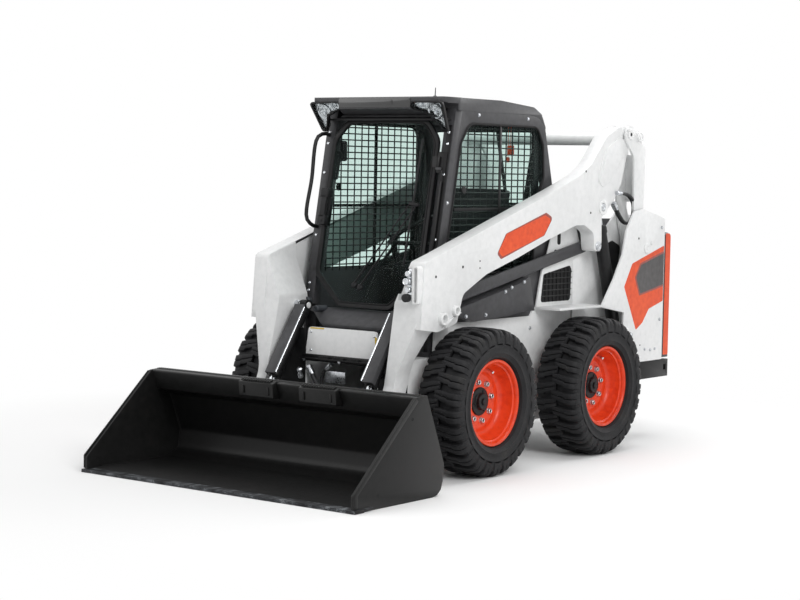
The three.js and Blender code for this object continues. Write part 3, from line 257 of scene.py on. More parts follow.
def cast_iron():
    """Painted engine casting: sand-cast iron under dark engine enamel, oily in patches."""
    material, tree, shader, place = new_material("sand_cast_iron")
    sand = add(tree, "ShaderNodeTexNoise", {"Vector": place, "Scale": per_metre(5), "Detail": 6.0})
    oil = add(tree, "ShaderNodeTexNoise", {"Vector": place, "Scale": per_metre(110), "Detail": 5.0})
    tone = shades(tree, oil.outputs["Fac"], ((0.3, "#232529"), (0.7, "#474b50")))
    tree.links.new(tone.outputs["Color"], shader.inputs["Base Color"])
    gloss = mixed_roughness(tree, oil.outputs["Fac"], 0.35, 0.75)
    tree.links.new(gloss.outputs[0], shader.inputs["Roughness"])
    bump = add(tree, "ShaderNodeBump", {"Height": sand.outputs["Fac"], "Strength": 0.5,
                                        "Distance": 1.5 * MM})
    tree.links.new(bump.outputs[0], shader.inputs["Normal"])
    shader.inputs["Metallic"].default_value = 0.3
    return material


def faceted_reflector():
    """Vacuum-metallised lamp reflector: bright aluminium in small pressed facets that break the
    light up. The facets are 9 mm across."""
    material, tree, shader, place = new_material("metallised_faceted_reflector")
    facets = add(tree, "ShaderNodeTexVoronoi", {"Vector": place, "Scale": per_metre(9)})
    tone = shades(tree, facets.outputs["Color"], ((0.2, "#8d9093"), (0.8, "#dcdfe2")))
    tree.links.new(tone.outputs["Color"], shader.inputs["Base Color"])
    gloss = mixed_roughness(tree, facets.outputs["Distance"], 0.12, 0.3)
    tree.links.new(gloss.outputs[0], shader.inputs["Roughness"])
    bump = add(tree, "ShaderNodeBump", {"Height": facets.outputs["Distance"], "Strength": 0.5,
                                        "Distance": 2 * MM})
    tree.links.new(bump.outputs[0], shader.inputs["Normal"])
    shader.inputs["Metallic"].default_value = 1.0
    return material


def hose_rubber():
    """Hydraulic hose: extruded rubber cover with a wrapped-cloth texture round the hose."""
    material, tree, shader, place = new_material("wrapped_hose_rubber")
    wrap = add(tree, "ShaderNodeTexWave", {"Vector": place, "Scale": per_metre(16), "Distortion": 3.0})
    tone = shades(tree, wrap.outputs["Fac"], ((0.2, "#111113"), (0.8, "#1f1f21")))
    tree.links.new(tone.outputs["Color"], shader.inputs["Base Color"])
    gloss = mixed_roughness(tree, wrap.outputs["Fac"], 0.45, 0.65)
    tree.links.new(gloss.outputs[0], shader.inputs["Roughness"])
    bump = add(tree, "ShaderNodeBump", {"Height": wrap.outputs["Fac"], "Strength": 0.2,
                                        "Distance": 0.6 * MM})
    tree.links.new(bump.outputs[0], shader.inputs["Normal"])
    return material


FINISH = {}


def mix_finishes():
    """Makes every finish once, from the colours in the paint settings."""
    paint = bpy.context.scene.loader_paint
    white, grey = as_hex(paint.body), as_hex(paint.cab)
    FINISH.update(
        white=painted_steel("sprayed_white_enamel", white, "#dcdddd", "#ececec"),
        grey=painted_steel("sprayed_grey_enamel", grey, "#3a3a3c", "#4f4f52", (0.36, 0.5), 0.04, 0.25),
        black=painted_steel("sprayed_black_enamel", "#151516", "#0f0f10", "#1e1e1f",
                            (0.34, 0.5), 0.04, 0.25),
        bucket=painted_steel("baked_bucket_enamel", "#121212", "#0c0c0c", "#1b1a19",
                             (0.34, 0.5), 0.04, 0.25),
        orange=painted_steel("sprayed_orange_enamel", as_hex(paint.rims), "#c93010", "#e8481f",
                             (0.28, 0.42), 0.12, 0.35),
        decal=painted_steel("printed_orange_vinyl_film", "#dd4a16", "#c83f10", "#ea5c26",
                            (0.3, 0.42), 0.08, 0.3),
        charcoal=painted_steel("printed_charcoal_vinyl_film", "#4a4848", "#3c3a3a", "#595757",
                               (0.3, 0.42), 0.05, 0.3),
        yellow=painted_steel("printed_yellow_film", "#d9b52a", "#c7a420", "#e6c440",
                             (0.3, 0.45), 0.2),
        rubber=tyre_rubber(),
        zinc=plated_steel("zinc_plated_steel", "#a6a9ad"),
        chrome=plated_steel("hard_chromed_steel", "#c9ccd0", (0.06, 0.16)),
        edge=worn_steel(),
        plastic=moulded_plastic("moulded_black_abs", "#161617", "#232325"),
        gasket=moulded_plastic("extruded_epdm_rubber", "#0f0f10", "#19191a", (0.6, 0.8)),
        vinyl=seat_vinyl(),
        glass=cab_glass("green_tinted_float_glass", "#f5fcfa", 0.05),
        lens=cab_glass("clear_polycarbonate", "#fdfefe", 0.05),
        iron=cast_iron(),
        hose=hose_rubber(),
        gloss=painted_steel("polished_black_acrylic", "#141415", "#101011", "#1b1b1c",
                            (0.08, 0.16), 0.8),
        facet=faceted_reflector(),
        tail=moulded_plastic("moulded_red_acrylic", "#8e1512", "#a31d18", (0.1, 0.2)),
        film_rim=painted_steel("printed_dark_film", "#8d2a12", "#7c240f", "#9c3318",
                               (0.25, 0.35), 0.4),
    )


def as_hex(colour):
    """A colour property's sRGB hex."""
    def encode(c):
        return 12.92 * c if c <= 0.0031308 else 1.055 * c ** (1 / 2.4) - 0.055
    return "#" + "".join(f"{round(255 * min(1, max(0, encode(c)))):02x}" for c in colour[:3])


# ---------------------------------------------------------------- meshes
def finished(obj, name, finish, body, smooth=30):
    """Names a finished piece, gives it its finish and hangs it on its body."""
    obj.name = name
    obj.data.name = name
    obj.data.materials.clear()
    obj.data.materials.append(FINISH[finish])
    obj.data.shade_smooth()
    obj.data.set_sharp_from_angle(angle=math.radians(smooth))
    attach(obj, body)
    return obj


def plain_mesh(obj):
    """Turns an object and its modifiers into one plain mesh."""
    bpy.context.view_layer.update()
    graph = bpy.context.evaluated_depsgraph_get()
    mesh = bpy.data.meshes.new_from_object(obj.evaluated_get(graph))
    obj.modifiers.clear()
    obj.data = mesh
    return obj


def bevelled(obj, width, segments=2, angle=32):
    """Rounds every edge that turns by more than the angle, as a rolled or ground edge is."""
    change = obj.modifiers.new("edge", "BEVEL")
    change.width, change.segments = width, segments
    change.limit_method, change.angle_limit = "ANGLE", math.radians(angle)
    change.use_clamp_overlap = True
    return plain_mesh(obj)


def linked(name, mesh):
    obj = bpy.data.objects.new(name, mesh)
    bpy.context.scene.collection.objects.link(obj)
    return obj


def refined(node, finish, body, edge=2.5, segments=2):
    """A CAD plate with its own outline and rounded edges. The plate is copied and merged first."""
    mesh = frame["nodes"][node].data.copy()
    work = bmesh.new()
    work.from_mesh(mesh)
    bmesh.ops.remove_doubles(work, verts=work.verts, dist=0.01 * MM)
    bmesh.ops.dissolve_limit(work, angle_limit=math.radians(0.6), verts=work.verts, edges=work.edges)
    work.to_mesh(mesh)
    work.free()
    obj = linked("finished_" + node, mesh)
    if edge:
        bevelled(obj, edge * MM, segments)
    finished(obj, "finished_" + node, finish, body, 30 if edge else 1)
    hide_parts(node)
    return obj


# ---------------------------------------------------------------- shapes, in millimetres
# Shapes are drawn in millimetres from the middle of the wheelbase on the ground, and set down in
# the frame when they are finished. Outlines are (y, z) for slabs, (x, z) for frontal plates.
def rounded(points, steps=4):
    """Rounds the corners of an outline. A point may carry its own radius."""
    out = []
    for i, point in enumerate(points):
        here = Vector(point[:2])
        if len(point) < 3 or not point[2]:
            out.append(here)
            continue
        before = Vector(points[i - 1][:2]) - here
        after = Vector(points[(i + 1) % len(points)][:2]) - here
        room = 0.49 * min(before.length, after.length)
        reach = min(point[2] / math.tan(before.angle(after) / 2), room)
        start, end = here + before.normalized() * reach, here + after.normalized() * reach
        for k in range(steps + 1):
            t = k / steps
            out.append(start * (1 - t) ** 2 + here * 2 * t * (1 - t) + end * t * t)
    return out


def prism(work, first, second):
    """Joins two rings of points and closes both ends."""
    a = [work.verts.new(p) for p in first]
    b = [work.verts.new(p) for p in second]
    work.faces.new(a[::-1])
    work.faces.new(b)
    for i in range(len(a)):
        j = (i + 1) % len(a)
        work.faces.new((a[i], a[j], b[j], b[i]))


def slab(work, points, x0, x1):
    ring = rounded(points)
    prism(work, [(x0, p.x, p.y) for p in ring], [(x1, p.x, p.y) for p in ring])


def frontal(work, points, y0, y1):
    ring = rounded(points)
    prism(work, [(p.x, y0, p.y) for p in ring], [(p.x, y1, p.y) for p in ring])


def block(work, x0, x1, y0, y1, z0, z1):
    corners = ((y0, z0), (y1, z0), (y1, z1), (y0, z1))
    prism(work, [(x0, *c) for c in corners], [(x1, *c) for c in corners])


def rod(work, start, end, radius, sides=20, end_radius=None):
    """A round or many-sided bar between two places."""
    start, end = Vector(start), Vector(end)
    turn = (end - start).to_track_quat("Z", "Y")
    rings = []
    for place, r in ((start, radius), (end, end_radius or radius)):
        rings.append([place + turn @ Vector((r * math.cos(a), r * math.sin(a), 0))
                      for a in (math.tau * k / sides for k in range(sides))])
    prism(work, *rings)


def lathe(work, profile, centre, along=(1, 0, 0), sides=64, closed=False):
    """Turns (radius, distance) points round an axis through the centre."""
    turn = Vector(along).to_track_quat("Z", "Y")
    rows = []
    for r, h in profile:
        count = sides if r > 1e-6 else 1
        rows.append([work.verts.new(Vector(centre) + turn @ Vector(
            (r * math.cos(math.tau * k / sides), r * math.sin(math.tau * k / sides), h)))
            for k in range(count)])
    pairs = list(zip(rows, rows[1:])) + ([(rows[-1], rows[0])] if closed else [])
    for one, two in pairs:
        for k in range(sides):
            n = (k + 1) % sides
            quad = [one[k % len(one)], one[n % len(one)], two[n % len(two)], two[k % len(two)]]
            corners = list(dict.fromkeys(quad))
            if len(corners) > 2:
                work.faces.new(corners)


def drawn(draw, *values):
    """Draws a mesh in millimetres with a function, its faces pointing outwards."""
    work = bmesh.new()
    draw(work, *values)
    bmesh.ops.recalc_face_normals(work, faces=work.faces)
    mesh = bpy.data.meshes.new("drawn")
    work.to_mesh(mesh)
    work.free()
    return mesh


def joined(*meshes):
    """One mesh from several."""
    work = bmesh.new()
    for mesh in meshes:
        work.from_mesh(mesh)
    mesh = bpy.data.meshes.new("joined")
    work.to_mesh(mesh)
    work.free()
    return mesh


def set_down(mesh, name, finish, body, edge=0, shift=(0, 0, 0), smooth=30, segments=2):
    """Rounds a drawn mesh's edges and sets it down in the frame as a finished piece."""
    obj = linked(name, mesh)
    if edge:
        bevelled(obj, edge, segments)
    obj.data.transform(Matrix.Translation((0, AFT, 0)) @ Matrix.Scale(MM, 4)
                       @ Matrix.Translation(shift))
    return finished(obj, name, finish, body, smooth)


# ---------------------------------------------------------------- geometry node trees
def new_tree(name, sockets):
    """An empty geometry tree with named inputs. Gives the tree, its inputs and its output."""
    tree = bpy.data.node_groups.new(name, "GeometryNodeTree")
    tree.interface.new_socket("Geometry", in_out="INPUT", socket_type="NodeSocketGeometry")
    for label, kind, default in sockets:
        socket = tree.interface.new_socket(label, in_out="INPUT", socket_type="NodeSocket" + kind)
        if default is not None:
            socket.default_value = default
    tree.interface.new_socket("Geometry", in_out="OUTPUT", socket_type="NodeSocketGeometry")
    return tree, add(tree, "NodeGroupInput").outputs, add(tree, "NodeGroupOutput")


def end_tree(tree, shape, finish, output):
    """Ends a tree with real geometry in one finish."""
    real = add(tree, "GeometryNodeRealizeInstances", {"Geometry": shape})
    dressed = add(tree, "GeometryNodeSetMaterial", {"Geometry": real, "Material": finish})
    tree.links.new(dressed.outputs[0], output.inputs[0])
    return tree


def ring_tree():
    """Copies a piece evenly round the X axis."""
    tree, into, output = new_tree("ring_of_pieces", (
        ("Piece", "Object", None), ("Count", "Int", 8), ("Start", "Float", 0.0),
        ("Finish", "Material", None)))
    source = add(tree, "GeometryNodeObjectInfo", {"Object": into["Piece"]})
    points = add(tree, "GeometryNodeMeshLine", {"Count": into["Count"], "Offset": (0, 0, 0)})
    step = add(tree, "ShaderNodeMath", {0: math.tau, 1: into["Count"]}, operation="DIVIDE")
    turn = add(tree, "ShaderNodeMath", {0: add(tree, "GeometryNodeInputIndex"), 1: step,
                                        2: into["Start"]}, operation="MULTIPLY_ADD")
    spin = add(tree, "ShaderNodeCombineXYZ", {"X": turn})
    copies = add(tree, "GeometryNodeInstanceOnPoints", {
        "Points": points, "Instance": source.outputs["Geometry"], "Rotation": spin})
    return end_tree(tree, copies, into["Finish"], output)


def row_tree():
    """Copies a piece along a straight row."""
    tree, into, output = new_tree("row_of_pieces", (
        ("Piece", "Object", None), ("Count", "Int", 8), ("Step", "Vector", None),
        ("Finish", "Material", None)))
    source = add(tree, "GeometryNodeObjectInfo", {"Object": into["Piece"]})
    points = add(tree, "GeometryNodeMeshLine", {"Count": into["Count"], "Offset": into["Step"]})
    copies = add(tree, "GeometryNodeInstanceOnPoints", {
        "Points": points, "Instance": source.outputs["Geometry"]})
    return end_tree(tree, copies, into["Finish"], output)


def scatter_tree():
    """Puts a piece on every vertex, turned to the way the vertex faces and to its own size."""
    tree, into, output = new_tree("pieces_on_points", (
        ("Piece", "Object", None), ("Finish", "Material", None)))
    source = add(tree, "GeometryNodeObjectInfo", {"Object": into["Piece"]})
    facing = add(tree, "GeometryNodeInputNamedAttribute", {"Name": "facing"},
                 data_type="FLOAT_VECTOR")
    size = add(tree, "GeometryNodeInputNamedAttribute", {"Name": "size"}, data_type="FLOAT")
    turn = add(tree, "FunctionNodeAlignRotationToVector", {"Vector": facing.outputs[0]}, axis="Z")
    copies = add(tree, "GeometryNodeInstanceOnPoints", {
        "Points": into["Geometry"], "Instance": source.outputs["Geometry"], "Rotation": turn,
        "Scale": size.outputs[0]})
    return end_tree(tree, copies, into["Finish"], output)


def sweep_tree():
    """Sweeps a round wire along every edge of a mesh."""
    tree, into, output = new_tree("wires_along_edges", (
        ("Radius", "Float", 2.0), ("Sides", "Int", 6), ("Finish", "Material", None)))
    line = add(tree, "GeometryNodeMeshToCurve", {"Mesh": into["Geometry"]})
    ring = add(tree, "GeometryNodeCurvePrimitiveCircle", {
        "Resolution": into["Sides"], "Radius": into["Radius"]})
    wire = add(tree, "GeometryNodeCurveToMesh", {
        "Curve": line, "Profile Curve": ring, "Fill Caps": True})
    return end_tree(tree, wire, into["Finish"], output)


TREES = {}


def grown(tree, base, inputs, finish, piece=None):
    """Grows a mesh from a tree over a base mesh, with an optional piece to copy."""
    if not TREES:
        TREES.update(ring=ring_tree(), row=row_tree(), scatter=scatter_tree(), sweep=sweep_tree())
    group = TREES[tree]
    values = dict(inputs, Finish=FINISH[finish])
    source = linked("copied_piece", piece) if piece else None
    if source:
        values["Piece"] = source
    obj = linked("grown", base)
    change = obj.modifiers.new("grow", "NODES")
    change.node_group = group
    for item in group.interface.items_tree:
        if item.item_type == "SOCKET" and item.in_out == "INPUT" and item.name in values:
            change[item.identifier] = values[item.name]
    mesh = plain_mesh(obj).data
    bpy.data.objects.remove(obj)
    if source:
        bpy.data.objects.remove(source)
    return mesh


def empty_mesh():
    return bpy.data.meshes.new("seed")


def ring_of(piece, count, start, finish):
    return grown("ring", empty_mesh(), {"Count": count, "Start": start}, finish, piece)


def row_of(piece, count, step, finish):
    return grown("row", empty_mesh(), {"Count": count, "Step": Vector(step)}, finish, piece)


def scattered(piece, places, finish):
    """Copies of a piece at (x, y, z, facing, size)."""
    base = bpy.data.meshes.new("places")
    base.from_pydata([p[:3] for p in places], [], [])
    for name, kind in (("facing", "FLOAT_VECTOR"), ("size", "FLOAT")):
        base.attributes.new(name, kind, "POINT")
    base.attributes["facing"].data.foreach_set("vector", [c for p in places for c in p[3]])
    base.attributes["size"].data.foreach_set("value", [p[4] for p in places])
    return grown("scatter", base, {}, finish, piece)


def wires(paths, radius, sides, finish, closed=False):
    """Round wires along paths of points."""
    base = bpy.data.meshes.new("paths")
    points, edges = [], []
    for path in paths:
        first = len(points)
        points.extend(Vector(p) for p in path)
        edges.extend((k, k + 1) for k in range(first, len(points) - 1))
        if closed:
            edges.append((len(points) - 1, first))
    base.from_pydata(points, edges, [])
    return grown("sweep", base, {"Radius": radius, "Sides": sides}, finish)


def scan(outline, at):
    """Where a line across an outline enters and leaves it, as pairs. The outline's second value
    runs along the line."""
    hits = []
    for (a0, b0), (a1, b1) in zip(outline, outline[1:] + outline[:1]):
        if (a0 <= at) != (a1 <= at):
            hits.append(b0 + (at - a0) * (b1 - b0) / (a1 - a0))
    hits.sort()
    return list(zip(hits[::2], hits[1::2]))


def guard_lines(outline, pitch_a, pitch_b, place):
    """The crossing wires of a guard that fills an outline, each end at the outline."""
    ring = [tuple(p) for p in rounded(outline)]
    flipped = [(b, a) for a, b in ring]
    paths = []
    for points, pitch, order in ((ring, pitch_a, 1), (flipped, pitch_b, -1)):
        low, high = min(p[0] for p in points), max(p[0] for p in points)
        count = int((high - low) / pitch)
        for k in range(1, count + 1):
            value = low + (high - low) * k / (count + 1)
            for start, end in scan(points, value):
                ends = ((value, start), (value, end))
                paths.append([place(*(pair[::order])) for pair in ends])
    return paths


# the small parts that are copied
def hex_bolt(work):
    """A flanged hexagon head of size 1, seated on z = 0, 17 across the flats and 9 high."""
    lathe(work, [(0, 0), (11, 0), (11, 2), (0, 2)], (0, 0, 0), (0, 0, 1), 16)
    rod(work, (0, 0, 1.5), (0, 0, 7.5), 9.6, 6)
    rod(work, (0, 0, 7), (0, 0, 9), 8.6, 12, 7)


def dome_screw(work):
    """A domed button head of size 1, 16 across and 5 high, with its socket."""
    lathe(work, [(0, 0), (8, 0), (7.6, 1.6), (6, 3.6), (3.6, 4.8), (3.2, 3.0), (0, 3.0)],
          (0, 0, 0), (0, 0, 1), 16)


def painted_shade_hole_disc(work):
    """A dark disc of size 1, 14 across, with a raised lip, set over a drilled hole: painted shade for the hole's
    inside.
    """
    lathe(work, [(0, 0), (8, 0), (8, 0.8), (6.6, 1.2), (5.6, 0.5), (0, 0.5)], (0, 0, 0), (0, 0, 1), 16)


# ---------------------------------------------------------------- wheels
TREAD = 378                   # over the lugs
CARCASS = 356                 # under the lugs

TYRE_SECTION = [
    (206.5, -98), (226, -98), (232, -114), (250, -122), (254, -125.5), (259, -125.5),
    (263, -123.5), (290, -126), (293, -127.5), (297, -127.5), (300, -125), (322, -125), (342, -120),
    (353, -106), (357, -60), (358, 0), (357, 60), (353, 106), (342, 120), (322, 125), (300, 125),
    (297, 127.5), (293, 127.5), (290, 126), (263, 123.5), (259, 125.5), (254, 125.5), (250, 122),
    (232, 114), (226, 94), (206.5, 94)]
# a lug's stations from the shoulder to the middle of the tread: across, round, top, half width
LUG = ((127, 0, 316, 27), (126.6, 0, 340, 29), (122, 0, 357, 30), (110, 0, 370, 30.5),
       (92, 1, 375, 30.5), (66, 3, 377, 30), (58, 10, 377.4, 26), (34, 14, 377.8, 26), (10, 20, 378, 24),
       (-12, 24, 378, 20))
DRAFT = 4                     # how much wider a lug is at its foot, on each side


def draw_lug(work, side):
    for offset, width, drop in ((0, 1, 12), (-0.56, 0.46, 0), (0.56, 0.46, 0)):
        rows = []
        for across, round_, top, half in LUG:
            foot, half, top = min(top - 18, CARCASS - 6), half * width, top - drop
            row = []
            for u, r in ((-half - DRAFT, foot), (-half, top - 2), (-half + 4, top), (0, top),
                         (half - 4, top), (half, top - 2), (half + DRAFT, foot)):
                turn = (round_ + half / width * offset + u) / TREAD
                row.append(work.verts.new((side * across, r * math.sin(turn), r * math.cos(turn))))
            rows.append(row)
        for one, two in zip(rows, rows[1:]):
            for k in range(len(one)):
                n = (k + 1) % len(one)
                work.faces.new((one[k], one[n], two[n], two[k]))
        work.faces.new(rows[0])
        work.faces.new(rows[-1][::-1])


def draw_carcass(work, side):
    lathe(work, [(r, h) for r, h in TYRE_SECTION], (0, 0, 0), (side, 0, 0), 96, closed=True)


RIM_SECTION = [
    (0, -17), (178, -17), (178, -46), (198, -66), (198, -106), (222, -106), (222, -99), (206, -98),
    (206, -64), (186, -42), (186, 11), (206, 37), (206, 94), (221, 95), (222, 98), (219, 101),
    (208, 101), (203, 94), (201, 82), (194, 76), (192, 60), (187, 46), (181, 28), (176, 14), (168, 6),
    (158, 3), (150, 3.5), (144, 6), (128, 6), (122, 3.5), (74, 3), (0, 3)]
HUB_SECTION = [(0, 2), (73, 2), (73, 9), (70, 12), (58, 13), (46, 13), (43, 16), (42, 30),
               (39, 33), (0, 33)]
NUT_CIRCLE = 101.5
DISC_FACE = 3


def draw_rim(work, side):
    lathe(work, RIM_SECTION, (0, 0, 0), (side, 0, 0), 96)


def draw_hub(work, side):
    lathe(work, HUB_SECTION, (0, 0, 0), (side, 0, 0), 48)
    rod(work, (side * 32, 0, 0), (side * 40, 0, 0), 20, 6)
    for turn in (0.4, 2.5, 4.6):
        at = Vector((0, 56 * math.sin(turn), 56 * math.cos(turn)))
        rod(work, at + Vector((side * 12, 0, 0)), at + Vector((side * 17, 0, 0)), 8, 6)


def draw_nut(work, side):
    """A conical wheel nut on the disc's bolt circle, hollow for its stud."""
    rod(work, (side * (DISC_FACE - 1), 0, NUT_CIRCLE), (side * (DISC_FACE + 4), 0, NUT_CIRCLE), 17, 20, 15)
    lathe(work, [(8, 0), (15, 0), (15, 10), (13, 13), (9.5, 13), (8, 11)],
          (side * (DISC_FACE + 3), 0, NUT_CIRCLE), (side, 0, 0), 6, closed=True)


def draw_stud(work, side):
    rod(work, (side * DISC_FACE, 0, NUT_CIRCLE), (side * (DISC_FACE + 12), 0, NUT_CIRCLE), 8.6, 12, 7.5)


def draw_valve(work, side):
    rod(work, (side * 12, 60, 162), (side * 36, 57, 152), 5, 12)
    rod(work, (side * 36, 57, 152), (side * 48, 55, 147), 6.5, 12)


def build_wheels():
    settings = bpy.context.scene.loader_wheels
    for end in HUBS:
        for word, side in SIDES:
            hub = HUBS[end]
            shift = Vector((side * hub.x, hub.y - AFT, hub.z)) / MM
            body = f"{end}_{word}_wheel"
            lug = drawn(draw_lug, side), drawn(draw_lug, -side)
            half_pitch = math.pi / settings.lugs
            tread = [ring_of(piece, settings.lugs, k * half_pitch, "rubber")
                     for k, piece in enumerate(lug)]
            tyre = set_down(joined(drawn(draw_carcass, side), *tread), f"{end}_{word}_tread_tyre",
                            "rubber", body, shift=shift, smooth=34)
            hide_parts(f"{end}_{word}_tyre")
            rim = set_down(drawn(draw_rim, side), f"{end}_{word}_pressed_rim", "orange",
                           body, shift=shift)
            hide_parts(f"{end}_{word}_rim")
            set_down(drawn(draw_hub, side), f"{end}_{word}_hub", "black", body,
                     edge=1.2, shift=shift)
            nuts = ring_of(drawn(draw_nut, side), settings.nuts, 0.2, "zinc")
            set_down(nuts, f"{end}_{word}_wheel_nuts", "zinc", body,
                     edge=0.7, shift=shift, segments=1)
            studs = ring_of(drawn(draw_stud, side), settings.nuts, 0.2, "gasket")
            set_down(studs, f"{end}_{word}_wheel_studs", "gasket", body, shift=shift)
            set_down(drawn(draw_valve, side), f"{end}_{word}_valve", "chrome",
                     body, shift=shift)


# ---------------------------------------------------------------- cab
CAB_FACE = 418                # the cab's side faces
GUARD_AT = 398                # the guards' wires, inside the side panes
SIDE_OPENING = [(-590, 1010, 30), (250, 1010, 40), (262, 1370, 60), (340, 1520, 60),
                (328, 1700, 60), (268, 1795, 70), (-380, 1795, 90), (-455, 1690, 60)]
REAR_OPENING = [(-340, 1370, 40), (340, 1370, 40), (340, 1775, 40), (-340, 1775, 40)]
CAB_FRONT, DOOR_SILL, CAB_LEAN = -694, 822, math.radians(10.5)
GUARD_PITCH = (60, 34)


def leaned(x, along, out=0):
    """A place on the cab's leaning front: along from the sill's height, out from the wall."""
    rise = along - DOOR_SILL
    return Vector((x, CAB_FRONT + rise * math.sin(CAB_LEAN) - out * math.cos(CAB_LEAN),
                   DOOR_SILL + rise * math.cos(CAB_LEAN) + out * math.sin(CAB_LEAN)))


def rear_place(x, z, depth=0):
    """A place on the cab's rear, which leans forward above its knee."""
    return Vector((x, 470 - max(0, z - 1340) * 124 / 458 - depth, z))


def outset(points, centre, by):
    """Moves an outline's corners out from its centre."""
    return [(a + math.copysign(by, a - centre[0]), b + math.copysign(by, b - centre[1]), *r)
            for a, b, *r in points]


def build_cab_windows():
    for word, side in SIDES:
        seal = [(side * 418, p.x, p.y) for p in rounded(SIDE_OPENING, 6)]
        set_down(wires([seal], 7, 10, "gasket", closed=True), word + "_window_seal", "gasket",
                 "chassis")
        guard = guard_lines(outset(SIDE_OPENING, (-100, 1430), 14), *GUARD_PITCH,
                            lambda y, z: (side * GUARD_AT, y, z))
        set_down(wires(guard, 4, 6, "black"), word + "_window_guard", "black",
                 "chassis")

        def bars(work):
            slab(work, [(-98, 1008), (-76, 1008), (-76, 1797), (-98, 1797)], side * 414.3, side * 419)
            slab(work, [(-500, 1342), (258, 1342), (258, 1358), (-500, 1358)], side * 414.3,
                 side * 418.6)
        set_down(drawn(bars), word + "_window_bars", "black", "chassis", edge=1.2)

        def latch(work):
            lathe(work, [(0, 0), (21, 0), (21, 4), (18, 7), (8, 8), (0, 8)],
                  (side * 414.2, -416, 1451), (side, 0, 0), 28)
            lathe(work, [(0, 0), (15, 0), (15, 5), (0, 6)], (side * 414.2, 210, 1120),
                  (side, 0, 0), 24)
        set_down(drawn(latch), word + "_window_latch", "plastic", "chassis")
    seal = [rear_place(p.x, p.y, -1) for p in rounded(REAR_OPENING, 6)]
    set_down(wires([seal], 7, 10, "gasket", closed=True), "rear_window_seal", "gasket",
             "chassis")

    def rear_bar(work):
        ring = [rear_place(105 + dx, z, d) for dx, z, d in
                ((-8, 1366, 2), (8, 1366, 2), (8, 1778, 2), (-8, 1778, 2))]
        prism(work, ring, [p + Vector((0, -14, 0)) for p in ring])
    set_down(drawn(rear_bar), "rear_window_bar", "grey", "chassis", edge=1.2)


def lean_block(work, x0, x1, a0, a1, out0, out1):
    """A block on the cab's leaning front."""
    prism(work, *([leaned(x, a, out) for a, out in ((a0, out0), (a1, out0), (a1, out1), (a0, out1))]
                  for x in (x0, x1)))


def draw_wiper(work):
    """The wiper's motor cap, its two parallel arms and its blade, parked upright on the glass."""
    glass = 26
    out = (leaned(0, 0, 1) - leaned(0, 0, 0)).normalized()
    for x, along in ((-75, 941), (-34, 930)):
        lathe(work, [(0, 0), (17, 0), (17, 12), (12, 18), (0, 20)], leaned(x, along, glass - 9), out, 20)
        rod(work, leaned(x, along, glass + 7), leaned(x + 311, along + 445, glass + 14), 5, 10, 3.5)
    block_ends = [leaned(226, 1380, glass + 10), leaned(286, 1372, glass + 10)]
    rod(work, *block_ends, 9, 10)
    for a, b, lift, r in (((237, 1056), (256, 1718), 9, 5), ((236, 1050), (257, 1726), 3, 3)):
        rod(work, leaned(*a, glass + lift), leaned(*b, glass + lift), r, 8)


def draw_latch(work):
    """The door's latch housing, its pull and its key barrel."""
    for low, high in ((1250, 1300), (1396, 1446)):
        lean_block(work, -352, -304, low, high, 24, 62)
    lean_block(work, -352, -304, 1250, 1446, 24, 34)
    lean_block(work, -344, -312, 1290, 1406, 50, 62)
    out = (leaned(0, 0, 1) - leaned(0, 0, 0)).normalized()
    lathe(work, [(0, 0), (9, 0), (9, 3), (0, 3)], leaned(-328, 1272, 62), out, 20)


def draw_pillar(work):
    """The hinge post's cover strips, the gas strut and the hinge covers."""
    lean_block(work, 384, 412, 860, 1800, 1, 9)
    for low in (1000, 1560):
        lean_block(work, 352, 408, low - 14, low + 96, 10, 20)
    rod(work, leaned(392, 1090, 20), leaned(392, 1500, 20), 9, 16)
    rod(work, leaned(392, 1490, 20), leaned(392, 1560, 20), 5, 12)


def draw_brow(work):
    """The gloss brow between the lamps, with its cooling slots' frame."""
    frontal(work, [(-236, 1871, 10), (236, 1871, 10), (236, 1921, 10), (-236, 1921, 10)], -653, -649)
    frontal(work, [(-120, 1884, 5), (120, 1884, 5), (120, 1910, 5), (-120, 1910, 5)], -656, -652)


LAMP_EDGE = [(228, 1902, 14), (440, 1902, 24), (416, 1748, 14), (386, 1748, 14), (330, 1832, 40),
             (228, 1868, 20)]


def lamp_depth(z, out=0):
    """How far forward a lamp's sloping face stands at a height."""
    return -647 + (1890 - min(z, 1890)) * 87 / 145 - out


def lamp_ring(by, out):
    centre = (355, 1850)
    ring = []
    for p in rounded(LAMP_EDGE, 6):
        away = Vector((p.x - centre[0], p.y - centre[1]))
        spot = Vector(centre) + away * (1 - by / max(away.length, by + 1))
        ring.append((spot.x, lamp_depth(spot.y, out), spot.y))
    return ring


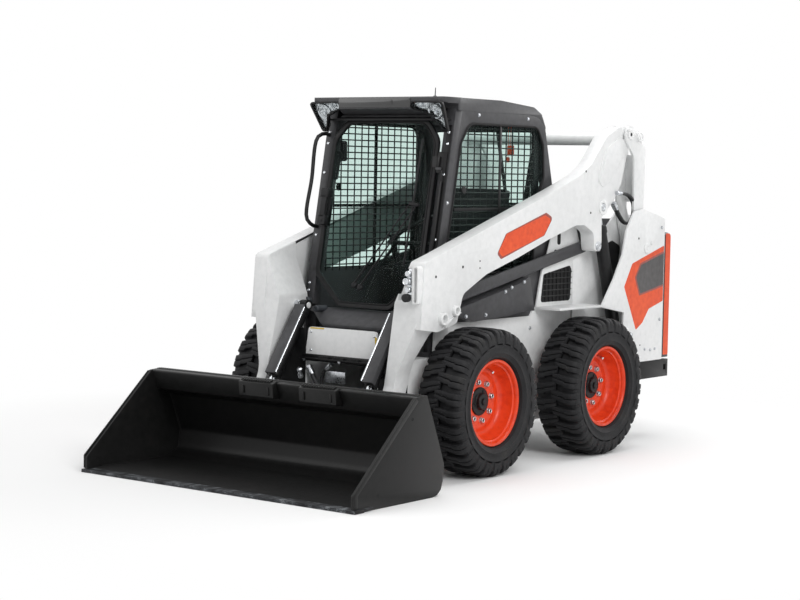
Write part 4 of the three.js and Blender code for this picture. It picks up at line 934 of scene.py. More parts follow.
def build_lamps():
    for word, side in SIDES:
        def turned(ring):
            return [(side * x, y, z) for x, y, z in ring]

        def bezel(work):
            rows = [turned(lamp_ring(by, out)) for by, out in
                    ((0, -14), (-1, 1), (2, 4), (13, 5), (15, -16))]
            verts = [[work.verts.new(p) for p in row] for row in rows]
            verts.append(verts[0])
            for one, two in zip(verts, verts[1:]):
                for k in range(len(one)):
                    n = (k + 1) % len(one)
                    work.faces.new((one[k], one[n], two[n], two[k]))
        set_down(drawn(bezel), word + "_lamp_bezel", "black", "chassis")

        def lens(work):
            prism(work, turned(lamp_ring(15, 1)), turned(lamp_ring(15, -2)))
        glass = set_down(drawn(lens), word + "_lamp_lens", "lens", "chassis", edge=0.6)
        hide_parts(word + "_work_light")

        def bowl(work):
            for x, z, r in ((366, 1850, 42), (284, 1884, 14)):
                lathe(work, [(0, -24), (r * 0.3, -23), (r * 0.62, -17), (r * 0.86, -9), (r, 0),
                             (r + 3, 0), (r + 3, -3), (r * 0.9, -12), (r * 0.66, -20),
                             (r * 0.32, -26), (0, -27)],
                      (side * x, lamp_depth(z, -9), z), Vector((0, -145, -87)), 32)
                rod(work, (side * x, lamp_depth(z, -34), z), (side * x, lamp_depth(z, -12), z - 8), r / 5, 12)
        set_down(drawn(bowl), word + "_lamp_reflector", "chrome", "chassis")

        def back(work):
            prism(work, turned(lamp_ring(4, -14)), turned(lamp_ring(4, -17)))
            prism(work, turned(lamp_ring(30, -38)), turned(lamp_ring(6, -15)))
        set_down(drawn(back), word + "_lamp_housing", "facet", "chassis")


def build_cab_fittings():
    set_down(drawn(draw_wiper), "door_wiper", "plastic", "door", edge=0.8)
    set_down(drawn(draw_latch), "door_latch", "plastic", "door", edge=3)
    set_down(drawn(draw_pillar), "hinge_post_cover", "black", "chassis", edge=2)
    set_down(drawn(draw_brow), "roof_brow", "gloss", "chassis", edge=1.5)
    rubber = [leaned(p.x, p.y, 24) for p in rounded(DOOR_OPENING, 6)]
    set_down(wires([rubber], 5, 8, "gasket", closed=True), "door_glass_seal", "gasket",
             "door")

    def aerial(work):
        lathe(work, [(0, 0), (15, 0), (15, 5), (7, 12), (0, 14)], (300, -525, 1922), (0, 0, 1), 20)
        rod(work, (300, -525, 1930), (298, -519, 1976), 3, 8, 2)
    set_down(drawn(aerial), "roof_aerial", "plastic", "chassis")

    def bosses(work):
        for x, z, r in ((380, 842, 24), (-380, 842, 24), (263, 811, 17), (-263, 811, 17)):
            face = leaned(x, z, 0).y - (80 if abs(x) < 300 else 26)
            back = -57 if abs(x) < 300 else 0
            lathe(work, [(0, back), (r, back), (r, 22), (r - 3, 26), (r * 0.55, 26), (r * 0.5, 22), (0, 22)],
                  (x, face + 18, z), (0, -1, 0), 24)
    set_down(drawn(bosses), "cab_pin_bosses", "iron", "chassis")


DOOR_OPENING = [(-158, 846, 40), (160, 846, 40), (328, 999, 60), (328, 1710, 90), (248, 1808, 90),
                (-246, 1808, 90), (-326, 1710, 90), (-326, 999, 60)]


# ---------------------------------------------------------------- inside the cab
def crowned(name, size, place, lean, channels, finish, body):
    """A padded block: its faces crown, its sides pull in between the corners, and sewn channels
    run across it. Channels are (place along, depth)."""
    work = bmesh.new()
    bmesh.ops.create_cube(work, size=2)
    bmesh.ops.subdivide_edges(work, edges=work.edges, cuts=15, use_grid_fill=True)
    half = Vector(size) / 2
    for vert in work.verts:
        x, y, z = vert.co
        crown = (1 - abs(x) ** 3.2) ** 0.5 * (1 - abs(y) ** 3.2) ** 0.5 if max(abs(x), abs(y)) < 1 else 0
        pull = 1 - 0.035 * (1 - abs(z)) * (1 - min(abs(x), abs(y)) ** 2)
        height = z * (0.62 + 0.38 * crown)
        for at, depth in channels:
            height -= math.copysign(depth, z) * math.exp(-((y - at) / 0.035) ** 2) * abs(z) * crown
        for at in (-0.62, 0.62):
            height -= math.copysign(0.13, z) * math.exp(-((x - at) / 0.03) ** 2) * abs(z) * crown
        vert.co = (x * half.x * pull, y * half.y * pull, height * half.z)
    mesh = bpy.data.meshes.new(name)
    work.to_mesh(mesh)
    work.free()
    obj = linked(name, mesh)
    smoother = obj.modifiers.new("smooth", "SUBSURF")
    smoother.levels = smoother.render_levels = 1
    mesh = plain_mesh(obj).data
    bpy.data.objects.remove(obj)
    mesh.transform(Matrix.Translation(place) @ Matrix.Rotation(math.radians(lean), 4, "X"))
    obj = set_down(mesh, name, finish, body, smooth=80)
    return obj


def build_seat():
    cushion = crowned("padded_seat", (376, 404, 106), (0, 44, 993), 0, ((-0.35, 0.16), (0.3, 0.16)),
                      "vinyl", "chassis")
    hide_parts("seat_cushion")
    back = crowned("padded_backrest", (356, 440, 84), (0, 318, 1232), 81,
                   ((-0.5, 0.2), (-0.1, 0.2), (0.3, 0.2)), "vinyl", "chassis")
    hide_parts("seat_backrest")

    def sticks(work):
        for side in (1, -1):
            x = side * 240
            foot, top = Vector((x, -96, 985)), Vector((x, -148, 1130))
            along = (top - foot).normalized()
            lathe(work, [(0, 0), (44, 0), (44, 8), (34, 16), (37, 22), (28, 32), (31, 38), (23, 48),
                         (25, 54), (17, 66), (0, 68)], foot - along * 10, along, 24)
            rod(work, foot, top, 9, 12)
            lathe(work, [(0, 0), (17, 2), (19, 22), (17, 46), (20, 68), (24, 84), (22, 100), (12, 110),
                         (0, 112)], top - along * 40, along + Vector((-side * 0.12, 0.1, 0)), 24)
            rod(work, top + along * 60 + Vector((0, -8, 0)), top + along * 66 + Vector((0, -20, 0)), 6, 12)
    set_down(drawn(sticks), "joysticks", "plastic", "chassis")

    def pods(work):
        for side in (1, -1):
            slab(work, [(-560, 1490, 14), (-500, 1490, 14), (-470, 1640, 14), (-540, 1650, 14)],
                 side * 352, side * 398)
            slab(work, [(-110, 1002, 20), (290, 1002, 20), (290, 1040, 20), (-60, 1040, 20)],
                 side * 214, side * 318)
        frontal(work, [(-380, 1590, 14), (-330, 1590, 14), (-330, 1700, 14), (-380, 1700, 14)],
                -478, -452)
    set_down(drawn(pods), "instrument_pods", "plastic", "chassis", edge=4)

    def belt(work):
        strap = [Vector(p) for p in ((-176, 234, 1010), (-128, 234, 1010), (-112, 312, 1440), (-160, 312, 1440))]
        prism(work, strap, [p + Vector((0, 3, 0)) for p in strap])
        slab(work, [(236, 1020, 6), (262, 1020, 6), (262, 1090, 6), (236, 1090, 6)], 200, 222)
    set_down(drawn(belt), "seat_belt", "plastic", "chassis", edge=1)

    def levers(work):
        for side in (1, -1):
            rod(work, (side * 300, -420, 690), (side * 262, -250, 1010), 11, 12)
            rod(work, (side * 262, -250, 1010), (side * 240, -150, 1120), 9, 12)
    set_down(drawn(levers), "cab_levers", "plastic", "chassis", edge=1.5)

    def tag(work):
        slab(work, [(60, 1640, 6), (116, 1640, 6), (116, 1692, 6), (60, 1692, 6)], 362, 370)
        slab(work, [(48, 1600, 6), (76, 1600, 6), (76, 1628, 6), (48, 1628, 6)], 364, 370)
        rod(work, (366, 88, 1688), (366, 88, 1810), 1.5, 8)
        rod(work, (367, 62, 1624), (367, 62, 1810), 1.5, 8)
        lean_block(work, 330, 338, 1570, 1690, -8, 6)
    set_down(drawn(tag), "interior_tags", "decal", "chassis", edge=1)

    def trim(work):
        for side in (1, -1):
            slab(work, [(262, 1000), (300, 1000), (330, 1760, 20), (262, 1790, 20)], side * 384,
                 side * 402)
            rod(work, (side * 330, 210, 1010), (side * 372, 296, 1650), 14, 12)
        frontal(work, [(-200, 1000), (200, 1000), (190, 1340, 40), (-190, 1340, 40)], 372, 388)
        level_ring = [(-395, -560), (395, -560), (395, 262), (-395, 262)]
        prism(work, [(x, y, 1806) for x, y in level_ring], [(x, y, 1818) for x, y in level_ring])
    set_down(drawn(trim), "cab_lining", "plastic", "chassis", edge=3)


# ---------------------------------------------------------------- lift arms and linkage
ARM_IN, ARM_OUT = 470, 556
LEG_IN, LEG_OUT = 386, 448
UPRIGHT_FACE = 594
REAR_PIVOT, ARM_PIVOT, LIFT_EYE = (1190, 1120), (1000, 1775), (749, 1361)
CONTROL_FRONT, TILT_BASE, TILT_EYE, TOOL_PIVOT = (-620, 880), (-800, 828), (-1113, 373), (-1060, 190)


def draw_pin_head(work, side, x, place, radius, keeper):
    """A pin's flanged end with its keeper bolt beside it."""
    y, z = place
    lathe(work, [(0, 0), (radius, 0), (radius, 6), (radius - 3, 9), (radius * 0.45, 9),
                 (radius * 0.4, 6), (0, 6)], (side * x, y, z), (side, 0, 0), 32)
    if keeper:
        dy, dz = keeper
        slab(work, [(y - 11, z, 10), (y + dy - 11, z + dz, 10), (y + dy + 11, z + dz, 10),
                    (y + 11, z, 10)], side * x, side * (x + 4))
        lathe(work, [(0, 0), (12, 0), (12, 4), (0, 4)], (side * (x + 3), y + dy, z + dz),
              (side, 0, 0), 16)
        rod(work, (side * (x + 6), y + dy, z + dz), (side * (x + 14), y + dy, z + dz), 9, 6)


def draw_collar(work, side, x, place, radius, depth, hole):
    """A raised ring round a hole."""
    y, z = place
    lathe(work, [(hole, 0), (radius, 0), (radius, depth - 2), (radius - 2, depth), (hole + 2, depth),
                 (hole, depth - 2)], (side * x, y, z), (side, 0, 0), 36, closed=True)


def build_linkage():
    for word, side in SIDES:
        def on_arm(work):
            draw_collar(work, side, ARM_OUT - 1, (-783, 806), 32, 26, 21)
            draw_collar(work, side, ARM_OUT - 1, (-672, 843), 27, 22, 17)
            slab(work, [(-744, 792), (-700, 806), (-620, 832), (-690, 808), (-760, 760)],
                 side * (ARM_OUT - 1), side * (ARM_OUT + 9))
            draw_collar(work, side, ARM_OUT - 1, LIFT_EYE, 44, 8, 24)
        set_down(drawn(on_arm), word + "_arm_bosses", "white", "lift_arms", edge=1.2)

        def doublers(work):
            slab(work, [(786, 1700, 30), (900, 1752, 30), (1010, 1742, 40), (996, 1680, 30),
                        (906, 1600, 30), (806, 1500, 30), (744, 1470, 30), (700, 1500, 30)],
                 side * (ARM_OUT - 1), side * (ARM_OUT + 4))
        set_down(drawn(doublers), word + "_arm_doubler", "white", "lift_arms", edge=1.5)

        def arm_pins(work):
            draw_pin_head(work, side, ARM_OUT - 1, LIFT_EYE, 22, None)
            draw_pin_head(work, side, LEG_OUT + 16, (TOOL_PIVOT[0], TOOL_PIVOT[1]), 26, None)
            rod(work, (side * 352, *TILT_BASE), (side * 378, *TILT_BASE), 24, 24)
        set_down(drawn(arm_pins), word + "_arm_pins", "zinc", "lift_arms", edge=1)

        def link_pins(work):
            draw_pin_head(work, side, 576, ARM_PIVOT, 30, (-26, 26))
            draw_collar(work, side, 576, (1112, 1764), 30, 8, 19)
        set_down(drawn(link_pins), word + "_upper_link_pin", "white", "rear_links", edge=1)

        def frame_pins(work):
            draw_pin_head(work, side, UPRIGHT_FACE, REAR_PIVOT, 32, (38, 30))
            draw_pin_head(work, side, UPRIGHT_FACE, (985, 640), 26, (28, -30))
        set_down(drawn(frame_pins), word + "_frame_pins", "white", "chassis", edge=1)

        def finger_pin(work):
            draw_pin_head(work, side, ARM_OUT, (706, 1142), 26, None)
        set_down(drawn(finger_pin), word + "_finger_pin", "zinc", "lift_arms", edge=1)

        beads = [[(side * 557.5, 786, 1702), (side * 557.5, 740, 1640), (side * 557.5, 696, 1520),
                  (side * 557.5, 704, 1492)],
                 [(side * 557.5, 1010, 1744), (side * 557.5, 996, 1682), (side * 557.5, 910, 1604),
                  (side * 557.5, 806, 1498)]]
        set_down(wires(beads, 3.2, 8, "white"), word + "_arm_welds", "white", "lift_arms")


def draw_guard_bar(work, side):
    """The folded bar that guards a tilt cylinder. Its bright wear strip is drawn in build_cylinders."""
    (by, bz), (ey, ez) = TILT_BASE, TILT_EYE
    along = Vector((0, ey - by, ez - bz)).normalized()
    out = Vector((0, along.z, -along.y))
    start = Vector((0, by, bz)) + along * 20 + out * 37
    end = Vector((0, by, bz)) + along * 436 + out * 37
    for x0, x1, lift, thick in ((286, 352, 0, 5), (347, 352, -26, 30)):
        ring = [start + out * lift, start + out * (lift + thick), end + out * (lift + thick),
                end + out * lift]
        prism(work, [p + Vector((side * x0, 0, 0)) for p in ring],
              [p + Vector((side * x1, 0, 0)) for p in ring])


def draw_coupler(work, place, size):
    """One flat-face coupler: its hexagon body, its sleeve and its ringed nose."""
    x, y, z = place
    rod(work, (x, y, z), (x, y - 16, z), 17 * size, 6)
    lathe(work, [(0, 0), (15, 0), (15, 14), (18, 16), (18, 34), (16, 36), (16, 42), (18, 44), (18, 50),
                 (14, 52), (12, 48), (0, 48)] if size == 1 else
          [(0, 0), (12, 0), (12, 12), (15, 14), (15, 30), (13, 32), (13, 38), (10, 38), (0, 36)],
          (x, y - 14, z), (0, -1, 0), 28)


def build_couplers():
    face = -915
    places = ((486, 1036, 0.85), (486, 997, 1), (486, 956, 0.85), (486, 917, 1))

    def block_(work):
        slab(work, [(face - 24, 900, 8), (face, 900), (face, 1060), (face - 24, 1060, 8)], 462, 502)
        for x, z, size in places:
            draw_coupler(work, (x, face - 20, z), size)
        for z in (976, 1017):
            rod(work, (474, face - 22, z), (474, face - 30, z), 6, 6)
    block_mesh = set_down(drawn(block_), "coupler_block", "chrome", "lift_arms", edge=0.8)
    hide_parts("hydraulic_couplers")

    def caps(work):
        lathe(work, [(0, 0), (20, 0), (21, 4), (21, 26), (18, 30), (0, 30)], (486, face - 60, 917),
              (0, -1, 0), 28)
        rod(work, (470, face - 26, 904), (470, face - 70, 906), 3, 8)
    set_down(drawn(caps), "coupler_cap", "plastic", "lift_arms", edge=1)

    def hoop(work):
        outer = rounded([(508, 884, 26), (548, 884, 26), (548, 1076, 26), (508, 1076, 26)], 6)
        inner = rounded([(518, 894, 18), (538, 894, 18), (538, 1066, 18), (518, 1066, 18)], 6)
        rings = []
        for points, y in ((outer, face - 62), (outer, face + 12), (inner, face + 12), (inner, face - 62)):
            rings.append([work.verts.new((p.x, y, p.y)) for p in points])
        rings.append(rings[0])
        for one, two in zip(rings, rings[1:]):
            for k in range(len(one)):
                n = (k + 1) % len(one)
                work.faces.new((one[k], one[n], two[n], two[k]))
    set_down(drawn(hoop), "coupler_hoop", "white", "lift_arms", edge=2)


def build_cylinders():
    for word, side in SIDES:
        guard = set_down(drawn(draw_guard_bar, side), word + "_tilt_guard", "grey",
                         "tilt_cylinder_tubes", edge=1.5)
        (by, bz), (ey, ez) = TILT_BASE, TILT_EYE
        base = Vector((side * 318, by, bz))
        along = (Vector((side * 318, ey, ez)) - base).normalized()

        def glands(work):
            tip = base + along * 438
            lathe(work, [(18.6, -30), (36, -30), (36, -8), (34, -2), (24, 4), (18.6, 4)], tip, along,
                  32, closed=True)
            lathe(work, [(32, 40), (35, 42), (35, 50), (32, 52)], base, along, 32, closed=True)
        def strip(work):
            out = Vector((0, along.z, -along.y))
            rod(work, base + along * 36 + out * 40 - Vector((side * 37, 0, 0)),
                base + along * 430 + out * 40 - Vector((side * 37, 0, 0)), 5, 12)
        set_down(drawn(strip), word + "_guard_wear_strip", "chrome",
                 "tilt_cylinder_tubes")
        set_down(drawn(glands), word + "_tilt_gland", "black", "tilt_cylinder_tubes",
                 edge=0.8)
        low = Vector((side * 513, 985, 640))
        rise = (Vector((side * 513, *LIFT_EYE)) - low).normalized()

        def lift_gland(work):
            tip = low + rise * 640
            lathe(work, [(22.6, -36), (42, -36), (42, -8), (40, -2), (28, 5), (22.6, 5)], tip, rise, 32,
                  closed=True)
        set_down(drawn(lift_gland), word + "_lift_gland", "black",
                 "lift_cylinder_tubes", edge=0.8)


def thin_plate(outline, side, x, name, finish, body, thick=0.9):
    """A film or thin plate that lies on a side face."""
    def draw(work):
        slab(work, outline, side * (x - 0.4), side * (x + thick))
    return set_down(drawn(draw), name, finish, body)


ARM_FILM = [(-300, 1122, 14), (-264, 1093, 16), (149, 1211, 24), (230, 1306, 20), (162, 1334, 14),
            (-222, 1226, 24)]
POST_FILM = [(1394, 1134, 8), (1029, 1037, 12), (943, 906, 12), (1087, 652, 8), (1160, 690, 10),
             (1231, 768, 12), (1394, 808, 8)]
POST_FILM_INNER = [(1393, 1090, 4), (1130, 1027, 10), (1076, 956, 12), (1125, 860, 10), (1393, 906, 4)]
POST_FILM_RIM = [(1394, 1102, 4), (1122, 1037, 10), (1060, 956, 12), (1116, 848, 10), (1394, 894, 4)]


def build_films():
    for word, side in SIDES:
        centre = (-35, 1213)
        thin_plate(ARM_FILM, side, ARM_OUT, word + "_arm_film_rim", "film_rim",
                   "lift_arms", 0.5)
        inner = [(centre[0] + (a - centre[0]) * 0.955, centre[1] + (b - centre[1]) * 0.89, r)
                 for a, b, r in ARM_FILM]
        thin_plate(inner, side, ARM_OUT, word + "_arm_film", "decal", "lift_arms", 1)
        thin_plate(POST_FILM, side, UPRIGHT_FACE, word + "_post_film", "decal",
                   "chassis", 0.6)
        thin_plate(POST_FILM_RIM, side, UPRIGHT_FACE, word + "_post_film_rim", "film_rim",
                   "chassis", 0.85)
        thin_plate(POST_FILM_INNER, side, UPRIGHT_FACE, word + "_post_film_inner", "charcoal",
                   "chassis", 1.1)

    def strips(work):
        frontal(work, [(-214, 716, 4), (-120, 716, 4), (-120, 723, 2), (-210, 723, 4)], -885.2, -884)
        frontal(work, [(218, 610, 3), (232, 610, 3), (226, 694, 3), (214, 700, 3)], -885.2, -884)
    set_down(drawn(strips), "front_yellow_films", "yellow", "chassis")


# ---------------------------------------------------------------- front of the frame
def draw_notched_bar(work):
    frontal(work, [(-262, 548, 8), (262, 548, 8), (256, 584, 8), (-256, 584, 8)], -900, -884.5)
    block(work, -262, 262, -918, -900, 560, 566)


def draw_tooth(work):
    frontal(work, [(-132, 566), (-122, 566), (-124, 578, 2), (-130, 578, 2)], -916, -908)


def hose_path(points, count=28):
    """A smooth hose route: the middle line of a spline through the points."""
    points = [Vector(p) for p in points]
    ring = [points[0] * 2 - points[1]] + points + [points[-1] * 2 - points[-2]]
    dense = []
    for a, b, c, d in zip(ring, ring[1:], ring[2:], ring[3:]):
        for k in range(24):
            t = k / 24
            dense.append(0.5 * (2 * b + (c - a) * t + (2 * a - 5 * b + 4 * c - d) * t * t
                                + (3 * b - a - 3 * c + d) * t ** 3))
    dense.append(points[-1])
    lengths = [0.0]
    for a, b in zip(dense, dense[1:]):
        lengths.append(lengths[-1] + (b - a).length)
    out, k = [], 0
    for i in range(count):
        goal = lengths[-1] * i / (count - 1)
        while k < len(dense) - 2 and lengths[k + 1] < goal:
            k += 1
        span = lengths[k + 1] - lengths[k]
        out.append(dense[k].lerp(dense[k + 1], (goal - lengths[k]) / span if span else 0))
    return out


def hydraulic_hose(name, points, diameter, body):
    """A hose between two fittings of the machine, with its swaged ends."""
    route = hose_path(points)
    obj = set_down(wires([route], diameter / 2, 16, "hose"), name, "hose", body,
                   smooth=60)

    def ends(work):
        for a, b in ((route[0], route[1]), (route[-1], route[-2])):
            way = (b - a).normalized()
            rod(work, a - way * 6, a + way * 34, diameter * 0.66, 20)
            rod(work, a - way * 16, a - way * 4, diameter * 0.8, 6)
            rod(work, a + way * 8, a + way * 11, diameter * 0.74, 20)
            rod(work, a + way * 20, a + way * 23, diameter * 0.74, 20)
    swages = set_down(drawn(ends), name + "_ends", "zinc", body, edge=0.6)
    return obj


def draw_painted_shade_panels(work):
    """The dark sheet round the front opening, on the chassis's front face: painted shade that darkens the front
    where it lies in the opening's shadow.
    """
    for side in (1, -1):
        frontal(work, [(side * 240, 250, 6), (side * 426, 250, 6), (side * 426, 594, 6),
                       (side * 300, 718, 6), (side * 240, 718, 6)], -886, -884)
    frontal(work, [(-240, 250), (240, 250), (240, 328), (-240, 328)], -886, -884)


def build_front():
    # painted shade: a black sheet over the white front round the opening
    set_down(drawn(draw_painted_shade_panels), "front_dark_panels", "black", "chassis")
    set_down(drawn(draw_notched_bar), "notched_bar", "black", "chassis", edge=1.5)
    tooth = drawn(draw_tooth)
    teeth = joined(row_of(tooth, 6, (11, 0, 0), "black"),
                   *[row_of(shifted(tooth, (dx, 0, 0)), 6, (11, 0, 0), "black") for dx in (100, 200)])
    set_down(teeth, "notched_bar_teeth", "black", "chassis")

    def fittings(work):
        for side in (1, -1):
            x = side * 262
            lathe(work, [(0, 0), (15, 0), (15, 18), (11, 22), (11, 44), (14, 46), (14, 60), (0, 60)],
                  (x, -898, 480 + side * 20), (side * -0.3, -0.55, 0.78), 20)
        block(work, 20, 74, -876, -846, 380, 424)
        for x in (32, 62):
            lathe(work, [(0, 0), (13, 0), (13, 20), (17, 22), (17, 44), (12, 48), (0, 48)],
                  (x, -872, 402), (0.5, -0.2, 0), 20)
        block(work, -120, 10, -868, -856, 440, 500)
    set_down(drawn(fittings), "front_fittings", "zinc", "chassis", edge=1)
    hydraulic_hose("front_hose_upper", [(-213, -882, 506), (-163, -884, 429), (-79, -884, 376),
                                        (20, -884, 363), (115, -884, 393), (176, -884, 444),
                                        (213, -882, 506)], 24, "chassis")
    hydraulic_hose("front_hose_lower", [(-92, -866, 531), (-131, -866, 492), (-145, -866, 440),
                                        (-131, -866, 388), (-84, -866, 345)], 18, "chassis")


LOOP = [(868, 1374), (925, 1312), (985, 1272), (1046, 1270), (1088, 1318), (1086, 1382), (1030, 1426),
        (962, 1438), (902, 1440)]


def build_arm_hoses():
    """A loop of two hoses behind each arm's leg, where they pass to the frame."""
    for word, side in SIDES:
        for number, x in enumerate((550, 568)):
            hydraulic_hose(f"{word}_arm_hose_{number}", [(side * x, y - number * 6, z) for y, z in LOOP],
                           16, "lift_arms")


def shifted(mesh, by):
    """A copy of a mesh, moved."""
    copy = mesh.copy()
    copy.transform(Matrix.Translation(by))
    return copy


# ---------------------------------------------------------------- bucket
def draw_step(work, low, high):
    """A step box on the bucket's top, open below."""
    slab(work, [(-1368, 404), (-1352, 488), (-1398, 494), (-1430, 482, 6), (-1422, 410, 6)], low, high)
    slab(work, [(-1418, 424), (-1418, 462), (-1434, 464), (-1430, 422)], low + 24, low + 36)
    slab(work, [(-1418, 424), (-1418, 462), (-1434, 464), (-1430, 422)], high - 36, high - 24)


def draw_cleat(work):
    slab(work, [(-1424, 486), (-1396, 495), (-1396, 502, 2), (-1424, 494, 2)], 0, 8)


def build_bucket():
    boxes = ((-222, 2), (169, 401))
    for number, (low, high) in enumerate(boxes):
        set_down(drawn(draw_step, low, high), f"bucket_step_{number}", "bucket",
                 "tool", edge=3)
        cleat = shifted(drawn(draw_cleat), (low + 12, 0, 0))
        set_down(row_of(cleat, int((high - low) / 15) - 1, (15, 0, 0), "bucket"),
                 f"bucket_step_cleats_{number}", "bucket", "tool", edge=1, segments=1)

    def flanges(work):
        for side in (1, -1):
            slab(work, [(-1862, 22), (-1862, 88, 8), (-1410, 486, 8), (-1392, 470), (-1838, 80, 8),
                        (-1838, 22)], side * 863, side * 871)
        frontal(work, [(-862, 478), (862, 478), (862, 493, 3), (-862, 493, 3)], -1352, -1340)
        rod(work, (-846, -1352, 486), (846, -1352, 486), 10, 12)
    set_down(drawn(flanges), "bucket_flanges", "bucket", "tool", edge=1.2)

    def stub(work):
        lathe(work, [(0, 0), (22, 0), (22, 14), (18, 18), (10, 18), (8, 14), (0, 14)],
              (-863, -1372, 462), (-1, 0, 0), 28)
    set_down(drawn(stub), "bucket_stubs", "bucket", "tool", edge=0.8)

    def wear(work):
        slab(work, [(-1869, -0.2), (-1869, 17), (-1730, 17.5), (-1730, 14)], -878.5, 878.5)
    set_down(drawn(wear), "cutting_edge", "edge", "tool", edge=2)
    # painted shade: dark discs over the holes in the bucket's side plates stand for the holes' shaded inside
    holes = [(side * 863.5, y, z, (side, 0, 0), size) for side in (1, -1)
             for y, z, size in ((-1826, 62, 0.8), (-1767, 68, 0.8), (-1676, 63, 1.1), (-1425, 389, 1))]
    set_down(scattered(drawn(painted_shade_hole_disc), holes, "gasket"), "bucket_holes", "gasket",
             "tool")
    beads = [[(side * 846, y, z) for y, z in ((-1262, 354), (-1186, 162), (-1198, 62), (-1292, 24),
                                              (-1760, 20))] for side in (1, -1)]
    set_down(wires(beads, 5, 8, "bucket"), "bucket_welds", "bucket", "tool")


# ---------------------------------------------------------------- rear end
def build_rear():
    for word, side in SIDES:
        def frame_plate(work):
            slab(work, [(345, 1024), (361, 1096), (410, 1215, 10), (436, 1262, 20), (640, 1290, 20),
                        (722, 1120), (722, 1000), (641, 1000)], side * 432, side * 438)
        set_down(drawn(frame_plate), word + "_screen_post", "white", "chassis", edge=1.5)
        hole = [(306, 836, 20), (610, 836, 24), (618, 1010, 16), (600, 1032, 20), (330, 990, 16)]
        # painted shade: a dark sheet fills the screen's opening, where the inside behind the wires lies in
        # shadow
        thin_plate(hole, side, 439.3, word + "_screen_opening", "gasket", "chassis")
        lines = guard_lines(hole, 42, 36, lambda y, z: (side * 443, y, z))
        set_down(wires(lines, 3.2, 6, "black"), word + "_screen_wires", "black",
                 "chassis")
        # painted shade: dark ovals where the post's oval openings lie in shadow
        for name, painted_shade_oval in (("upper", [(466, 1150, 17), (500, 1150, 17), (500, 1218, 17), (466, 1218, 17)]),
                           ("lower", [(436, 1092, 13), (462, 1092, 13), (462, 1124, 13), (436, 1124, 13)])):
            thin_plate(painted_shade_oval, side, 438.2, f"{word}_{name}_oval", "gasket", "chassis")
        # painted shade: a dark sheet where the upright's cavity lies in shadow
        cavity = [(966, 1140, 30), (1056, 1164, 30), (1148, 1130, 30), (1130, 1037, 20), (1056, 923, 20),
                  (992, 856), (961, 1042, 20)]
        thin_plate(cavity, side, 439.6, word + "_upright_cavity", "gasket", "chassis")

    def louvre(work):
        prism(work, [(-430, 1467, 1040), (-430, 1471, 1040), (-430, 1479, 1062), (-430, 1469, 1066)],
              [(430, 1467, 1040), (430, 1471, 1040), (430, 1479, 1062), (430, 1469, 1066)])
    set_down(row_of(drawn(louvre), 9, (0, 0, -34), "black"), "tailgate_louvres", "black",
             "tailgate", edge=1)

    def gate(work):
        frontal(work, [(-470, 736, 14), (470, 736, 14), (470, 1096, 14), (-470, 1096, 14)], 1467, 1471)
        frontal(work, [(-500, 520, 20), (500, 520, 20), (500, 690, 20), (-500, 690, 20)], 1469, 1475)
    set_down(drawn(gate), "tailgate_pressings", "grey", "tailgate", edge=2)

    def latch(work):
        frontal(work, [(520, 806, 12), (580, 806, 12), (580, 914, 12), (520, 914, 12)], 1469, 1477)
        slab(work, [(1476, 826), (1498, 838, 6), (1498, 882, 6), (1476, 894)], 532, 566)
    set_down(drawn(latch), "tailgate_latch", "plastic", "tailgate", edge=2)

    def lights(work):
        for side in (1, -1):
            frontal(work, [(side * 506, 1118, 8), (side * 586, 1118, 8), (side * 586, 1176, 8),
                           (side * 506, 1176, 8)], 1469, 1482)
    set_down(drawn(lights), "tail_lamps", "tail", "tailgate", edge=3)

    def strip(work):
        frontal(work, [(578, 520, 3), (592, 520, 3), (592, 1160, 3), (578, 1160, 3)], 1469.5, 1471)
        for side in (1, -1):
            slab(work, [(1412, 486, 6), (1469, 486, 10), (1469, 1205, 30), (1412, 1205, 6)],
                 side * 593.6, side * 595.4)
    set_down(drawn(strip), "tailgate_film", "decal", "tailgate")

    def vent(work):
        prism(work, [(-300, 600, 1289.5), (-300, 606, 1289.5), (-300, 616, 1300), (-300, 598, 1302)],
              [(300, 600, 1289.5), (300, 606, 1289.5), (300, 616, 1300), (300, 598, 1302)])
    set_down(row_of(drawn(vent), 12, (0, 34, 0), "black"), "hood_vents", "black",
             "chassis", edge=1)

    def exhaust(work):
        lathe(work, [(24, 0), (30, 0), (30, 70), (24, 70)], (-340, 1120, 1262), (0, 0, 1), 28, closed=True)
        lathe(work, [(0, 0), (46, 0), (46, 6), (32, 10), (0, 10)], (-340, 1120, 1288), (0, 0, 1), 32)
    set_down(drawn(exhaust), "exhaust_stub", "iron", "chassis", edge=1)

    def engine_parts(work):
        for k in range(4):
            y = 600 + k * 140
            lathe(work, [(0, 0), (48, 0), (48, 40), (40, 52), (0, 52)], (0, y, 895), (0, 0, 1), 24)
            rod(work, (236, y, 760), (292, y, 760), 30, 16)
        lathe(work, [(0, 0), (130, 0), (130, 18), (60, 30), (0, 30)], (0, 1118, 620), (0, 1, 0), 40)
        rod(work, (-236, 620, 560), (-236, 1060, 560), 46, 24)
        block(work, -200, 200, 560, 1090, 330, 470)
    set_down(drawn(engine_parts), "engine_castings", "iron", "chassis", edge=4)


